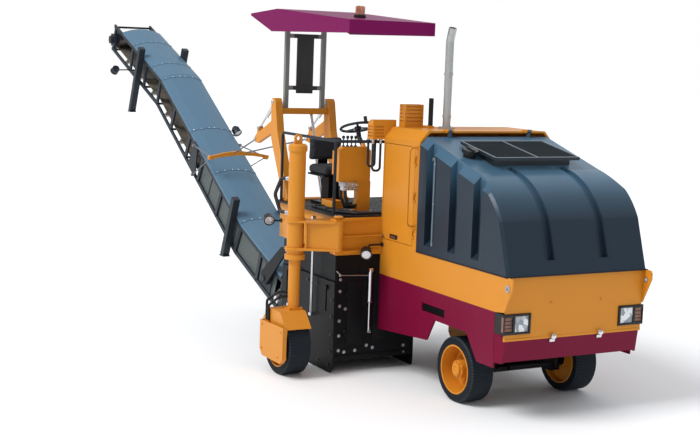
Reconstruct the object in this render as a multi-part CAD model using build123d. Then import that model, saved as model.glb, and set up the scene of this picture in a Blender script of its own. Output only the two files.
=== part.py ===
"""Cold planer milling machine: front-steered, four solid-rubber wheels, rear-mounted one-metre drum,
swing-out right rear wheel and a rear discharge conveyor.

Millimetres. +X forward, +Y left, +Z up. The model is drawn with X = 0 at the front axle, Y = 0 at the middle
of the body and Z = 0 at the ground, then moved so that the origin lies under the middle of its bounding box.
"""
from build123d import *
import math
import os

# ---------------------------------------------------------------- driving dimensions
FIT = 0.2                 # gap between curved faces that are fixed together
RUN = 0.05                # radial running clearance of a shaft in its bore
PLAY = 6.0                # free space between pieces that move past each other
SHEET = 6.0               # sheet metal of covers
PLATE = 20.0              # plates of the body

# wheels
TYRE_RADIUS = 330.0
TYRE_WIDTH = 256.0
TYRE_BORE = 250.0
TYRE_CHAMFER = 16.0
RIM_WALL = 16.0
RIM_DISC = 22.0
RIM_DISC_OFFSET = -55.0   # from the middle of the wheel, negative is towards the machine
HUB_RADIUS = 92.0
HUB_CAP_RADIUS = 66.0
HUB_REACH = 112.0         # from the middle of the wheel to the outer end of the hub
STUB_RADIUS = 30.0
FRONT_TRACK_HALF = 646.0
REAR_WHEEL_SHIFT = -60.0  # from the middle of a rear column to the middle of its wheel

# front axle
KINGPIN_Y = 486.0
KINGPIN_RADIUS = 20.0
SLEEVE_RADIUS = 45.0
SLEEVE_HEIGHT = 150.0
EAR = 26.0
AXLE_HALF = 55.0
STEER_ANGLE = 32.0

# body
BODY_HALF = 840.0
BODY_FRONT = 890.0
BODY_REAR = -1460.0
SKIRT_TOP = 1068.0
BAND_TOP = 1420.0
BUMPER_TOP = 805.0
BUMPER_LOW = 585.0
HOUSING_FRONT = -725.0
HOUSING_TOP = 2670.0
HOUSING_SHOULDER = 100.0
RAIL_Y = 260.0
RAIL_WIDTH = 90.0
RAIL_LOW = 700.0
RAIL_TOP = 900.0
FRAME_REAR = -2790.0

# hood side profile above BAND_TOP
HOOD_GAP = 8.0
HOOD_WALL = 12.0
HOOD_TOP_REAR = 2625.0
HOOD_SLOPE = 16.4         # degrees, the top falls towards the front
HOOD_SHOULDER_Z = 82.0

# swing-out right rear wheel
HINGE_X = -1400.0
HINGE_Y = -1400.0
COLUMN_X = -1650.0
COLUMN_Y = 1780.0         # distance of the right column from the middle line, wheel swung out
LEFT_COLUMN_Y = 646.0
COLUMN_RADIUS = 90.0
COLUMN_BORE = 70.0
LEG_RADIUS = 62.5
ARM_LOW = 1345.0
ARM_TOP = 1665.0
ARM_PLATE = 25.0
COLUMN_LOW = 1240.0
COLUMN_TOP = 2450.0
LEG_TOP = 2000.0
FENDER_TOP = 700.0
LIFT_UP = 0.30            # metres, wheel raised
LIFT_DOWN = 0.06
SWING_IN = 150.0          # degrees from swung out to tucked in front of the drum box

# drum box and drum
DRUM_X = -2100.0
DRUM_Z = 470.0
DRUM_CORE = 270.0
PICK_TIP = 395.0
BOX_FRONT = -1462.0
BOX_REAR = -2740.0
BOX_RIGHT = -1385.0
BOX_LEFT = -395.0
BOX_LOW = 130.0
BOX_TOP = 1285.0
BOX_WALL = 18.0

# platform, mast and canopy
DECK_Z = 1690.0
DECK_TOP = 1712.0
DECK_REAR = -2990.0
MACHINE_Y = -915.0        # middle line of the operator's place, mast and conveyor
MAST_HALF = 350.0
MAST_TOP_X = -3300.0
MAST_TOP_Z = 2880.0
MAST_FOOT_X = -2900.0
CROSSBEAM_Z = 2740.0
POST_HALF = 240.0
CANOPY_LOW = 3650.0

# conveyor: middle line of the belt frame in the XZ plane
CONVEYOR_PATH = [(-3100, 545), (-4400, 1030), (-7400, 2775), (-9400, 3510)]
CONVEYOR_Y = -950.0
CONVEYOR_HALF = 300.0
TRUSS_HALF = 210.0
CHORD = 48.0
PULLEY_RADIUS = 110.0
BELT = 12.0
COVER_RISE = 92.0
COVER_SHOULDER = 32.0
LUFF_X = -3490.0
LUFF_Z = 690.0
SLEW_X = -2900.0


# ---------------------------------------------------------------- small tools
def block(x0, x1, y0, y1, z0, z1):
    """Box between six planes."""
    return Pos((x0 + x1) / 2, (y0 + y1) / 2, (z0 + z1) / 2) * Box(abs(x1 - x0), abs(y1 - y0), abs(z1 - z0))


def prism_y(outline, y0, y1):
    """Extrude an outline of (x, z) points from y0 to y1."""
    face = make_face(Polyline([(x, min(y0, y1), z) for x, z in outline], close=True))
    return extrude(face, amount=abs(y1 - y0), dir=(0, 1, 0))


def prism_x(outline, x0, x1):
    """Extrude an outline of (y, z) points from x0 to x1."""
    face = make_face(Polyline([(min(x0, x1), y, z) for y, z in outline], close=True))
    return extrude(face, amount=abs(x1 - x0), dir=(1, 0, 0))


def prism_z(outline, z0, z1):
    """Extrude an outline of (x, y) points from z0 to z1."""
    face = make_face(Polyline([(x, y, min(z0, z1)) for x, y in outline], close=True))
    return extrude(face, amount=abs(z1 - z0), dir=(0, 0, 1))


def rod(start, end, radius):
    """Round bar between two points."""
    a, b = Vector(start), Vector(end)
    return Plane(origin=(a + b) * 0.5, z_dir=b - a) * Cylinder(radius, (b - a).length)


def pipe(start, end, radius, bore):
    """Round tube between two points."""
    return rod(start, end, radius) - rod(start, end, bore)


def bar(start, end, width_y, depth):
    """Rectangular bar between two points of one XZ plane."""
    a, b = Vector(start), Vector(end)
    return Plane(origin=(a + b) * 0.5, x_dir=(0, 1, 0), z_dir=b - a) * Box(width_y, depth, (b - a).length)


def bent_rail(points, bend, radius):
    """Round rail along straight runs with rounded corners."""
    path = FilletPolyline(*points, radius=bend)
    return sweep(Plane(origin=path @ 0, z_dir=path % 0) * Circle(radius), path)


def turned_y(profile):
    """Turn a closed outline of (radius, y) points about the Y axis."""
    return revolve(make_face(Polyline([(r, y, 0) for r, y in profile], close=True)), Axis.Y, 360)


def joined(pieces):
    """One shape from a list of touching pieces."""
    whole = pieces[0]
    for piece in pieces[1:]:
        whole = whole + piece
    return whole


def both_sides(shape):
    """A shape and its mirror image across the middle plane of the body."""
    return Compound(children=[shape, mirror(shape, about=Plane.XZ)])


nodes = {}

# ---------------------------------------------------------------- wheels
BARREL_RADIUS = TYRE_BORE - FIT
BARREL_HALF = TYRE_WIDTH / 2 - 4
HUB_INNER = RIM_DISC_OFFSET - 35.0


def tyre_blank():
    """Solid rubber tyre about the Y axis."""
    half = TYRE_WIDTH / 2
    edge = TYRE_RADIUS - TYRE_CHAMFER
    return turned_y([(TYRE_BORE, -half), (edge, -half), (TYRE_RADIUS, -half + TYRE_CHAMFER),
                     (TYRE_RADIUS, half - TYRE_CHAMFER), (edge, half), (TYRE_BORE, half)])


def rim_blank():
    """Deep-dished rim with its hub, outer side towards +Y."""
    disc_in = RIM_DISC_OFFSET - RIM_DISC / 2
    disc_out = RIM_DISC_OFFSET + RIM_DISC / 2
    dish = BARREL_RADIUS - RIM_WALL
    bore = STUB_RADIUS + RUN
    return turned_y([(bore, HUB_INNER), (HUB_RADIUS, HUB_INNER), (HUB_RADIUS, disc_in), (dish, disc_in),
                     (dish, -BARREL_HALF), (BARREL_RADIUS, -BARREL_HALF), (BARREL_RADIUS, BARREL_HALF),
                     (dish, BARREL_HALF), (dish, disc_out), (HUB_RADIUS, disc_out), (HUB_RADIUS, HUB_REACH - 22),
                     (HUB_CAP_RADIUS, HUB_REACH - 22), (HUB_CAP_RADIUS, HUB_REACH), (0, HUB_REACH),
                     (0, HUB_REACH - 30), (bore, HUB_REACH - 30)])


TYRE = tyre_blank()
RIM = rim_blank()
# name, x, y, turn about Z that faces the hub outwards
WHEELS = [
    ("front_left", 0.0, FRONT_TRACK_HALF, 0),
    ("front_right", 0.0, -FRONT_TRACK_HALF, 180),
    ("rear_left", COLUMN_X, LEFT_COLUMN_Y + REAR_WHEEL_SHIFT, 0),
    ("rear_right", COLUMN_X, -COLUMN_Y + REAR_WHEEL_SHIFT, 0),
]
for wheel, wheel_x, wheel_y, turn in WHEELS:
    place = Pos(wheel_x, wheel_y, TYRE_RADIUS) * Rot(0, 0, turn)
    nodes["tyre_" + wheel] = place * TYRE
    nodes["rim_" + wheel] = place * RIM

# ---------------------------------------------------------------- front axle and knuckles
SLEEVE_LOW = TYRE_RADIUS - SLEEVE_HEIGHT / 2
SLEEVE_HIGH = TYRE_RADIUS + SLEEVE_HEIGHT / 2
STUB_END = FRONT_TRACK_HALF + HUB_REACH - 36
HUB_FACE = FRONT_TRACK_HALF + HUB_INNER


def axle_end():
    """Fork and kingpin at the left end of the front axle."""
    root_y = KINGPIN_Y - SLEEVE_RADIUS - 12
    web = block(-AXLE_HALF, AXLE_HALF, root_y - 40, root_y, SLEEVE_LOW - EAR, SLEEVE_HIGH + EAR)
    ears = []
    for low in (SLEEVE_LOW - EAR, SLEEVE_HIGH + FIT):
        high = low + EAR - FIT
        ears.append(block(-SLEEVE_RADIUS, SLEEVE_RADIUS, root_y - 1, KINGPIN_Y, low, high))
        ears.append(rod((0, KINGPIN_Y, low), (0, KINGPIN_Y, high), SLEEVE_RADIUS))
    pin = rod((0, KINGPIN_Y, SLEEVE_LOW - EAR - 8), (0, KINGPIN_Y, SLEEVE_HIGH + EAR + 8), KINGPIN_RADIUS)
    return joined([web] + ears + [pin])


AXLE_END = axle_end()
beam_y = KINGPIN_Y - SLEEVE_RADIUS - 12 - 20
nodes["front_axle"] = joined([
    block(-AXLE_HALF, AXLE_HALF, -beam_y, beam_y, TYRE_RADIUS - AXLE_HALF, TYRE_RADIUS + AXLE_HALF),
    AXLE_END, mirror(AXLE_END, about=Plane.XZ),
    block(-70, 70, -110, 110, TYRE_RADIUS + AXLE_HALF - 1, TYRE_RADIUS + AXLE_HALF + 60),
    rod((AXLE_HALF + 45, -190, TYRE_RADIUS), (AXLE_HALF + 45, 190, TYRE_RADIUS), 36),
    rod((AXLE_HALF + 45, -330, TYRE_RADIUS), (AXLE_HALF + 45, 330, TYRE_RADIUS), 14),
    block(AXLE_HALF - 1, AXLE_HALF + 45, -60, 60, TYRE_RADIUS - 30, TYRE_RADIUS + 30),
])


def knuckle():
    """Left steering knuckle: sleeve on the kingpin, stub axle and steering arm."""
    sleeve = pipe((0, KINGPIN_Y, SLEEVE_LOW), (0, KINGPIN_Y, SLEEVE_HIGH), SLEEVE_RADIUS, KINGPIN_RADIUS + RUN)
    stub = rod((0, KINGPIN_Y + 30, TYRE_RADIUS), (0, STUB_END, TYRE_RADIUS), STUB_RADIUS)
    flange = rod((0, KINGPIN_Y + 25, TYRE_RADIUS), (0, HUB_FACE - 0.3, TYRE_RADIUS), 62)
    arm = block(0, 128, KINGPIN_Y - 10, KINGPIN_Y + 14, TYRE_RADIUS + 42, TYRE_RADIUS + 64)
    solid = joined([sleeve, stub, flange, arm])
    return solid - rod((0, KINGPIN_Y, SLEEVE_LOW - 1), (0, KINGPIN_Y, SLEEVE_HIGH + 1), KINGPIN_RADIUS + RUN)


nodes["knuckle_left"] = knuckle()
nodes["knuckle_right"] = mirror(nodes["knuckle_left"], about=Plane.XZ)

# ---------------------------------------------------------------- chassis and engine
LAMP_LOW = 866.0
LAMP_TOP = SKIRT_TOP
LAMP_INNER = 530.0
PEDESTAL_LOW = TYRE_RADIUS + AXLE_HALF + 60
rails = [block(FRAME_REAR, 850, side * RAIL_Y - RAIL_WIDTH / 2, side * RAIL_Y + RAIL_WIDTH / 2, RAIL_LOW, RAIL_TOP)
         for side in (-1, 1)]
# x0, x1, half width, z0, z1 of the cross members
CROSS_MEMBERS = [
    (790, 870, LAMP_INNER - 10, RAIL_TOP - 60, RAIL_TOP),
    (380, 460, BODY_HALF - PLATE, RAIL_TOP - 60, RAIL_TOP),
    (-95, 95, RAIL_Y, RAIL_LOW, RAIL_LOW + 60),
    (-560, -480, BODY_HALF - PLATE, RAIL_TOP - 60, RAIL_TOP),
    (-1425, -1345, RAIL_Y, RAIL_LOW, RAIL_TOP),
    (FRAME_REAR, FRAME_REAR + 60, RAIL_Y, RAIL_LOW, RAIL_TOP),
]
members = [block(x0, x1, -half, half, z0, z1) for x0, x1, half, z0, z1 in CROSS_MEMBERS]
pedestal = block(-80, 80, -120, 120, PEDESTAL_LOW, RAIL_LOW + 1)
uprights = [block(x, x + 80, side * RAIL_Y - 45, side * RAIL_Y + 45, RAIL_TOP - 1, BOX_TOP)
            for side in (-1, 1) for x in (FRAME_REAR, BODY_REAR + PLATE)]
nodes["chassis"] = joined(rails + members + [pedestal] + uprights)
nodes["ballast"] = block(566, 746, -RAIL_Y - 330, RAIL_Y + 330, RAIL_TOP, RAIL_TOP + 270)
nodes["engine_block"] = joined([
    block(-620, 420, -300, 300, RAIL_TOP, 1850),
    block(420, 560, -380, 380, RAIL_TOP + 60, 1900),
])

# ---------------------------------------------------------------- body plates
SKIRT = [(BODY_REAR, 455), (-445, 542), (-305, 775), (277, 775), (477, 528), (754, 528), (748, SKIRT_TOP),
         (BODY_REAR, SKIRT_TOP)]
BAND = [(BODY_REAR, SKIRT_TOP), (748, SKIRT_TOP), (892, SKIRT_TOP + 18), (1008, 1330), (1008, 1396),
        (984, BAND_TOP), (BODY_REAR, BAND_TOP)]
skirt = prism_y(SKIRT, BODY_HALF - PLATE, BODY_HALF) - block(-555, -127, BODY_HALF - PLATE - 1, BODY_HALF + 1, 832, 914)
band = prism_y(BAND, BODY_HALF - PLATE, BODY_HALF)
nodes["skirts"] = both_sides(skirt)
EYE_X = 940.0
EYE_Z = 1320.0
EYE_RADIUS = 30.0
eye = rod((EYE_X, BODY_HALF - PLATE - 1, EYE_Z), (EYE_X, BODY_HALF + 1, EYE_Z), EYE_RADIUS)
nodes["side_bands"] = both_sides(band - eye)

front_half = BODY_HALF - PLATE
nodes["front_plate"] = joined([
    block(BODY_FRONT - PLATE, BODY_FRONT, -front_half, front_half, BUMPER_TOP, BAND_TOP)
]) - block(BODY_FRONT - PLATE - 1, BODY_FRONT + 1, -front_half - 1, -LAMP_INNER, LAMP_LOW, LAMP_TOP) - \
    block(BODY_FRONT - PLATE - 1, BODY_FRONT + 1, LAMP_INNER, front_half + 1, LAMP_LOW, LAMP_TOP)

bumper_outer = prism_z([(756, -BODY_HALF), (BODY_FRONT, -800), (BODY_FRONT, 800), (756, BODY_HALF)],
                       BUMPER_LOW, BUMPER_TOP)
bumper_inner = prism_z([(700, -814), (756, -814), (850, -786), (850, 786), (756, 814), (700, 814)],
                       BUMPER_LOW - 1, BUMPER_TOP + 1)
bumper_rake = prism_y([(BODY_FRONT, BUMPER_TOP), (BODY_FRONT - 42, BUMPER_LOW - 1), (BODY_FRONT + 60, BUMPER_LOW - 1)],
                      -900, 900)
bumper_corner = prism_z([(756, BODY_HALF), (866, 807), (866, 780), (756, 812)], BUMPER_TOP - 1, LAMP_LOW)
nodes["bumper"] = joined([bumper_outer - bumper_inner - bumper_rake, bumper_corner,
                          mirror(bumper_corner, about=Plane.XZ)])

LAMP_REAR = 752.0
lamp_box = block(LAMP_REAR, BODY_FRONT + 8, LAMP_INNER, BODY_HALF - 1, LAMP_LOW + 2, LAMP_TOP - 2)
lamp_hole = block(BODY_FRONT - 30, BODY_FRONT + 9, LAMP_INNER + 22, 716, LAMP_LOW + 20, LAMP_TOP - 20)
indicator_hole = block(BODY_FRONT - 30, BODY_FRONT + 9, 736, BODY_HALF, LAMP_LOW + 30, LAMP_TOP - 30)
housing_lamp = lamp_box - lamp_hole - indicator_hole
nodes["headlamp_housings"] = both_sides(housing_lamp)
nodes["headlamp_lenses"] = both_sides(block(BODY_FRONT - 30, BODY_FRONT + 4, LAMP_INNER + 22, 716,
                                            LAMP_LOW + 20, LAMP_TOP - 20))
nodes["indicators"] = both_sides(block(BODY_FRONT - 30, BODY_FRONT + 4, 736, BODY_HALF - 1,
                                       LAMP_LOW + 30, LAMP_TOP - 30))

# ---------------------------------------------------------------- rear housing and its door
SHOULDER_Z = HOOD_TOP_REAR - HOOD_SHOULDER_Z + 15


def housing_section(inset, low):
    """Cross-section of the rear housing in (y, z)."""
    half = BODY_HALF - inset
    return [(-half, low), (-half, SHOULDER_Z - inset * 0.4), (-half + HOUSING_SHOULDER, HOUSING_TOP - inset),
            (half - HOUSING_SHOULDER, HOUSING_TOP - inset), (half, SHOULDER_Z - inset * 0.4), (half, low)]


DOOR_FRONT = -806.0
DOOR_REAR = -1434.0
DOOR_LOW = 1466.0
DOOR_TOP = 2494.0
housing = prism_x(housing_section(0, BAND_TOP), BODY_REAR, HOUSING_FRONT)
housing = housing - prism_x(housing_section(PLATE, BAND_TOP - 1), BODY_REAR + PLATE, HOUSING_FRONT + 1)
housing = housing - block(DOOR_REAR - PLAY, DOOR_FRONT + PLAY, -BODY_HALF - 1, -BODY_HALF + PLATE + 1,
                          DOOR_LOW - PLAY, DOOR_TOP + PLAY)
housing = housing + block(BODY_REAR, BODY_REAR + PLATE, -BODY_HALF + PLATE, BODY_HALF - PLATE, 1075, BAND_TOP + 1)
DOOR_PIN = 6.0
DOOR_HINGE_X = DOOR_FRONT + PLAY
DOOR_HINGE_Y = -BODY_HALF - 12
door_barrels = []
door_lugs = []
for z in (1600.0, 1980.0, 2360.0):
    door_barrels.append(rod((DOOR_HINGE_X, DOOR_HINGE_Y, z - 25), (DOOR_HINGE_X, DOOR_HINGE_Y, z + 25), 12))
    door_barrels.append(block(DOOR_HINGE_X - 30, DOOR_HINGE_X, DOOR_HINGE_Y - 1, -BODY_HALF + 1, z - 25, z + 25))
    for offset in (-38, 38):
        door_lugs.append(rod((DOOR_HINGE_X, DOOR_HINGE_Y, z + offset - 12),
                             (DOOR_HINGE_X, DOOR_HINGE_Y, z + offset + 12), 12))
        door_lugs.append(block(DOOR_HINGE_X, DOOR_HINGE_X + 30, DOOR_HINGE_Y - 1, -BODY_HALF + 1,
                               z + offset - 12, z + offset + 12))
    door_lugs.append(rod((DOOR_HINGE_X, DOOR_HINGE_Y, z - 45), (DOOR_HINGE_X, DOOR_HINGE_Y, z + 45), DOOR_PIN))
door = joined([block(DOOR_REAR, DOOR_FRONT, -BODY_HALF, -BODY_HALF + 18, DOOR_LOW, DOOR_TOP)] + door_barrels)
nodes["side_door"] = door - rod((DOOR_HINGE_X, DOOR_HINGE_Y, DOOR_LOW), (DOOR_HINGE_X, DOOR_HINGE_Y, DOOR_TOP),
                                DOOR_PIN + RUN)

# ---------------------------------------------------------------- hood
HOOD_REAR = HOUSING_FRONT + HOOD_GAP
HOOD_LOW = BAND_TOP + HOOD_GAP
HOOD_EDGE = 26.0
SHOULDER_CUT = 84.0


def hood_face(inset, past):
    """Side outline of the hood in the XZ plane, drawn inwards by inset and past its open edges."""
    rear, low = HOOD_REAR - past, HOOD_LOW - past
    foot = (924 - inset, low)
    knee = (765 - inset, 1924 - inset * 0.3)
    mid = (560 - inset * 0.72, 2172 - inset * 0.72)
    brow = (190 - inset * 0.3, 2345 - inset)
    rise = math.tan(math.radians(HOOD_SLOPE))
    top_rear = (rear, brow[1] + (brow[0] - rear) * rise)
    flat = [(x, 0, z) for x, z in (foot, knee, mid, brow, top_rear, (rear, low))]
    edges = [Line(flat[0], flat[1]), ThreePointArc(flat[1], flat[2], flat[3]), Line(flat[3], flat[4]),
             Line(flat[4], flat[5]), Line(flat[5], flat[0])]
    return make_face(edges)


def hood_top(x):
    """Height of the sloping top of the hood."""
    return 2345 + (190 - x) * math.tan(math.radians(HOOD_SLOPE))


def shoulder_wedge(inset):
    """Long wedge that bevels the upper left edge of the hood and runs out towards the front."""
    tilt = math.radians(HOOD_SLOPE)
    along_top = Plane(origin=(-1400, BODY_HALF, hood_top(-1400)), x_dir=(0, 1, 0),
                      z_dir=(math.cos(tilt), 0, -math.sin(tilt)))
    depth = SHOULDER_CUT + inset * math.sqrt(2)
    face = make_face(along_top * Polyline([(-depth - 60, 60), (60, -depth - 60), (60, 60)], close=True))
    return extrude(face, amount=3200, dir=(math.cos(tilt), 0, -math.sin(tilt)))


def hood_solid(inset, past):
    """Solid under the hood outline with its side edges bevelled."""
    half = BODY_HALF - inset
    solid = extrude(Pos(0, -half, 0) * hood_face(inset, past), amount=2 * half, dir=(0, 1, 0))
    rear, low = HOOD_REAR - past, HOOD_LOW - past
    edges = [e for e in solid.edges() if abs(abs(e.center().Y) - half) < 1 and e.center().X > rear + 5
             and e.center().Z > low + 5]
    wedge = shoulder_wedge(inset)
    return chamfer(edges, HOOD_EDGE) - wedge - mirror(wedge, about=Plane.XZ)


# middle x and top z of the side grooves
GROOVES = [(-505.0, 2560.0), (-55.0, 2440.0), (365.0, 2320.0)]
GROOVE_HALF = 68.0
GROOVE_DEPTH = 74.0
GROOVE_LOW = 1500.0
CHANNEL_Y = 320.0
CHANNEL_HALF = 50.0
CHANNEL_DEPTH = 34.0


def groove_cuts(grow):
    """Recesses in both flanks of the hood with a notched top and a sloping sill, grown by a wall."""
    cuts = []
    for x, top in GROOVES:
        x0, x1 = x - GROOVE_HALF - grow, x + GROOVE_HALF + grow
        front = prism_y([(x0, GROOVE_LOW - grow), (x1, GROOVE_LOW - grow), (x1, top - 90 + grow),
                         (x + 12, top - 10 + grow), (x - 12, top + 40 + grow), (x0, top - 20 + grow)], -900, 900)
        for side in (-1, 1):
            floor = side * (BODY_HALF - GROOVE_DEPTH - grow)
            depth = prism_x([(side * (BODY_HALF + 5), GROOVE_LOW - grow), (floor, GROOVE_LOW + 62 - grow),
                             (floor, 2700), (side * (BODY_HALF + 5), 2700)], x0 - 5, x1 + 5)
            cuts.append(front & depth)
    return cuts


def channel_cuts(grow):
    """Two recessed channels down the front of the hood, grown by a wall."""
    ring = hood_face(-20, 60) - hood_face(CHANNEL_DEPTH + grow, 90)
    cuts = []
    for side in (-1, 1):
        y0 = side * CHANNEL_Y - CHANNEL_HALF - grow
        strip = extrude(Pos(0, y0, 0) * ring, amount=2 * (CHANNEL_HALF + grow), dir=(0, 1, 0))
        cuts.append(strip & block(96, 1000, y0 - 1, y0 + 2 * (CHANNEL_HALF + grow) + 1, 1555 - grow, 2600))
    return cuts


GRILLE_REAR = -470.0
GRILLE_FRONT = 176.0
GRILLE_HALF = 514.0
GRILLE_WALL = 24.0
GRILLE_DEPTH = 30.0
COLLAR_FRONT = 66.0
COLLAR_REAR = GRILLE_REAR + 20
COLLAR_HALF = GRILLE_HALF - 40
hood_outer = hood_solid(0, 0)
for cut in groove_cuts(0) + channel_cuts(0):
    hood_outer = hood_outer - cut
hood_inner = hood_solid(HOOD_WALL, 60)
for cut in groove_cuts(HOOD_WALL) + channel_cuts(HOOD_WALL):
    hood_inner = hood_inner - cut
intake = block(COLLAR_REAR + GRILLE_WALL, COLLAR_FRONT - GRILLE_WALL, -COLLAR_HALF + GRILLE_WALL,
               COLLAR_HALF - GRILLE_WALL, 2200, 2800)
hood = hood_outer - hood_inner - intake
HINGE_PIN = 10.0
HOOD_HINGE_X = -702.0
HOOD_HINGE_Z = HOUSING_TOP + 2
HOOD_HINGE_Y = 500.0
hood_barrels = []
housing_lugs = []
for side in (-1, 1):
    y = side * HOOD_HINGE_Y
    hood_barrels.append(rod((HOOD_HINGE_X, y - 20, HOOD_HINGE_Z), (HOOD_HINGE_X, y + 20, HOOD_HINGE_Z), 20))
    hood_barrels.append(block(HOOD_HINGE_X - 8, HOOD_HINGE_X + 8, y - 20, y + 20, 2596, HOOD_HINGE_Z - 12))
    for offset in (-31, 31):
        housing_lugs.append(block(HOUSING_FRONT - 40, HOOD_HINGE_X, y + offset - 9, y + offset + 9,
                                  HOUSING_TOP - 6, HOOD_HINGE_Z + 14))
        housing_lugs.append(rod((HOOD_HINGE_X, y + offset - 9, HOOD_HINGE_Z),
                                (HOOD_HINGE_X, y + offset + 9, HOOD_HINGE_Z), 20))
    housing_lugs.append(rod((HOOD_HINGE_X, y - 40, HOOD_HINGE_Z), (HOOD_HINGE_X, y + 40, HOOD_HINGE_Z), HINGE_PIN))
hood = joined([hood] + hood_barrels)
nodes["hood"] = hood - rod((HOOD_HINGE_X, -560, HOOD_HINGE_Z), (HOOD_HINGE_X, 560, HOOD_HINGE_Z), HINGE_PIN + RUN)


GRILLE_RISE_REAR = 47.0
GRILLE_RISE_FRONT = 120.0
grille_tilt = (hood_top(GRILLE_FRONT) + GRILLE_RISE_FRONT - hood_top(GRILLE_REAR) - GRILLE_RISE_REAR) / \
    (GRILLE_FRONT - GRILLE_REAR)


def grille_z(x):
    """Height of the grille's face."""
    return hood_top(GRILLE_REAR) + GRILLE_RISE_REAR + (x - GRILLE_REAR) * grille_tilt


def grille_ring(rear, front, half, wall, low):
    """Rectangular ring below the grille's face, from a sloping underside up to the face."""
    side = [(rear, low(rear)), (front, low(front)), (front, grille_z(front)), (rear, grille_z(rear))]
    return prism_y(side, -half, half) - block(rear + wall, front - wall, -half + wall, half - wall, 2200, 2900)


grille = grille_ring(GRILLE_REAR, GRILLE_FRONT, GRILLE_HALF, GRILLE_WALL, lambda x: grille_z(x) - GRILLE_DEPTH)
collar = grille_ring(COLLAR_REAR, COLLAR_FRONT, COLLAR_HALF, 14, hood_top)
collar = collar - prism_y([(GRILLE_REAR - 50, grille_z(GRILLE_REAR - 50) - 28), (300, grille_z(300) - 28), (300, 3000),
                           (GRILLE_REAR - 50, 3000)], -600, 600)
SLAT_PITCH = 45.0
slats = []
slat_count = int((GRILLE_FRONT - GRILLE_REAR - 2 * GRILLE_WALL) / SLAT_PITCH)
for index in range(1, slat_count + 1):
    x = GRILLE_REAR + GRILLE_WALL + index * SLAT_PITCH - SLAT_PITCH / 2
    slats.append(block(x - 4, x + 4, -GRILLE_HALF + GRILLE_WALL - 1, GRILLE_HALF - GRILLE_WALL + 1,
                       grille_z(x) - 26, grille_z(x) - 10))
spine = prism_y([(GRILLE_REAR + 10, grille_z(GRILLE_REAR) - 30), (GRILLE_FRONT - 10, grille_z(GRILLE_FRONT) - 30),
                 (GRILLE_FRONT - 10, grille_z(GRILLE_FRONT) - 2), (GRILLE_REAR + 10, grille_z(GRILLE_REAR) - 2)],
                -14, 14)
nodes["grille"] = joined([grille, collar, spine] + slats)

CAP_X = -172.0
CAP_Y = -600.0
cap_place = Pos(CAP_X, CAP_Y, hood_top(CAP_X)) * Rot(0, HOOD_SLOPE, 0)
nodes["filler_cap"] = cap_place * (Pos(0, 0, 22) * Cylinder(62, 44) + Pos(0, 0, 62) * Cylinder(80, 38)
                                   + Pos(0, 0, 86) * Box(128, 24, 18))

nodes["rear_housing"] = joined([housing] + door_lugs + housing_lugs)
RAIL_OUT = -BODY_HALF - 100
grab_rail = bent_rail([(-758, -BODY_HALF, 2500), (-758, RAIL_OUT, 2500), (-758, RAIL_OUT, 1680),
                       (-758, -BODY_HALF, 1680)], 50, 11)
grab_feet = [block(-752 - 24, -752 + 12, -BODY_HALF - 6, -BODY_HALF, z - 24, z + 24) for z in (1680, 2500)]
nodes["rear_housing"] = joined([nodes["rear_housing"], grab_rail] + grab_feet)
vent = block(-1420, -1300, -690, -460, HOUSING_TOP, 2915)
for z in (2730, 2770, 2810, 2850, 2885):
    vent = vent - block(-1299, -1312, -670, -480, z, z + 14) - block(-1400, -1320, -691, -680, z, z + 14)
vent_box = joined([vent, rod((-1200, -430, HOUSING_TOP), (-1200, -430, 2990), 26),
                            block(-1300, -1170, -470, -400, HOUSING_TOP, HOUSING_TOP + 24),
                            block(-1310, -1290, -480, -460, HOUSING_TOP, HOUSING_TOP + 24)])

# ---------------------------------------------------------------- exhaust
EXHAUST = [(-1100, -290, HOUSING_TOP), (-1100, -290, 3600), (-1055, -290, 3740)]
EXHAUST_RADIUS = 43.0
stack = bent_rail(EXHAUST, 120, EXHAUST_RADIUS) - bent_rail([(-1100, -290, 3000), (-1100, -290, 3600),
                                                             (-1045, -290, 3771)], 120, EXHAUST_RADIUS - 4)
nodes["exhaust"] = joined([stack, Pos(-1100, -290, HOUSING_TOP + 8) * Cylinder(90, 16)])

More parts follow.
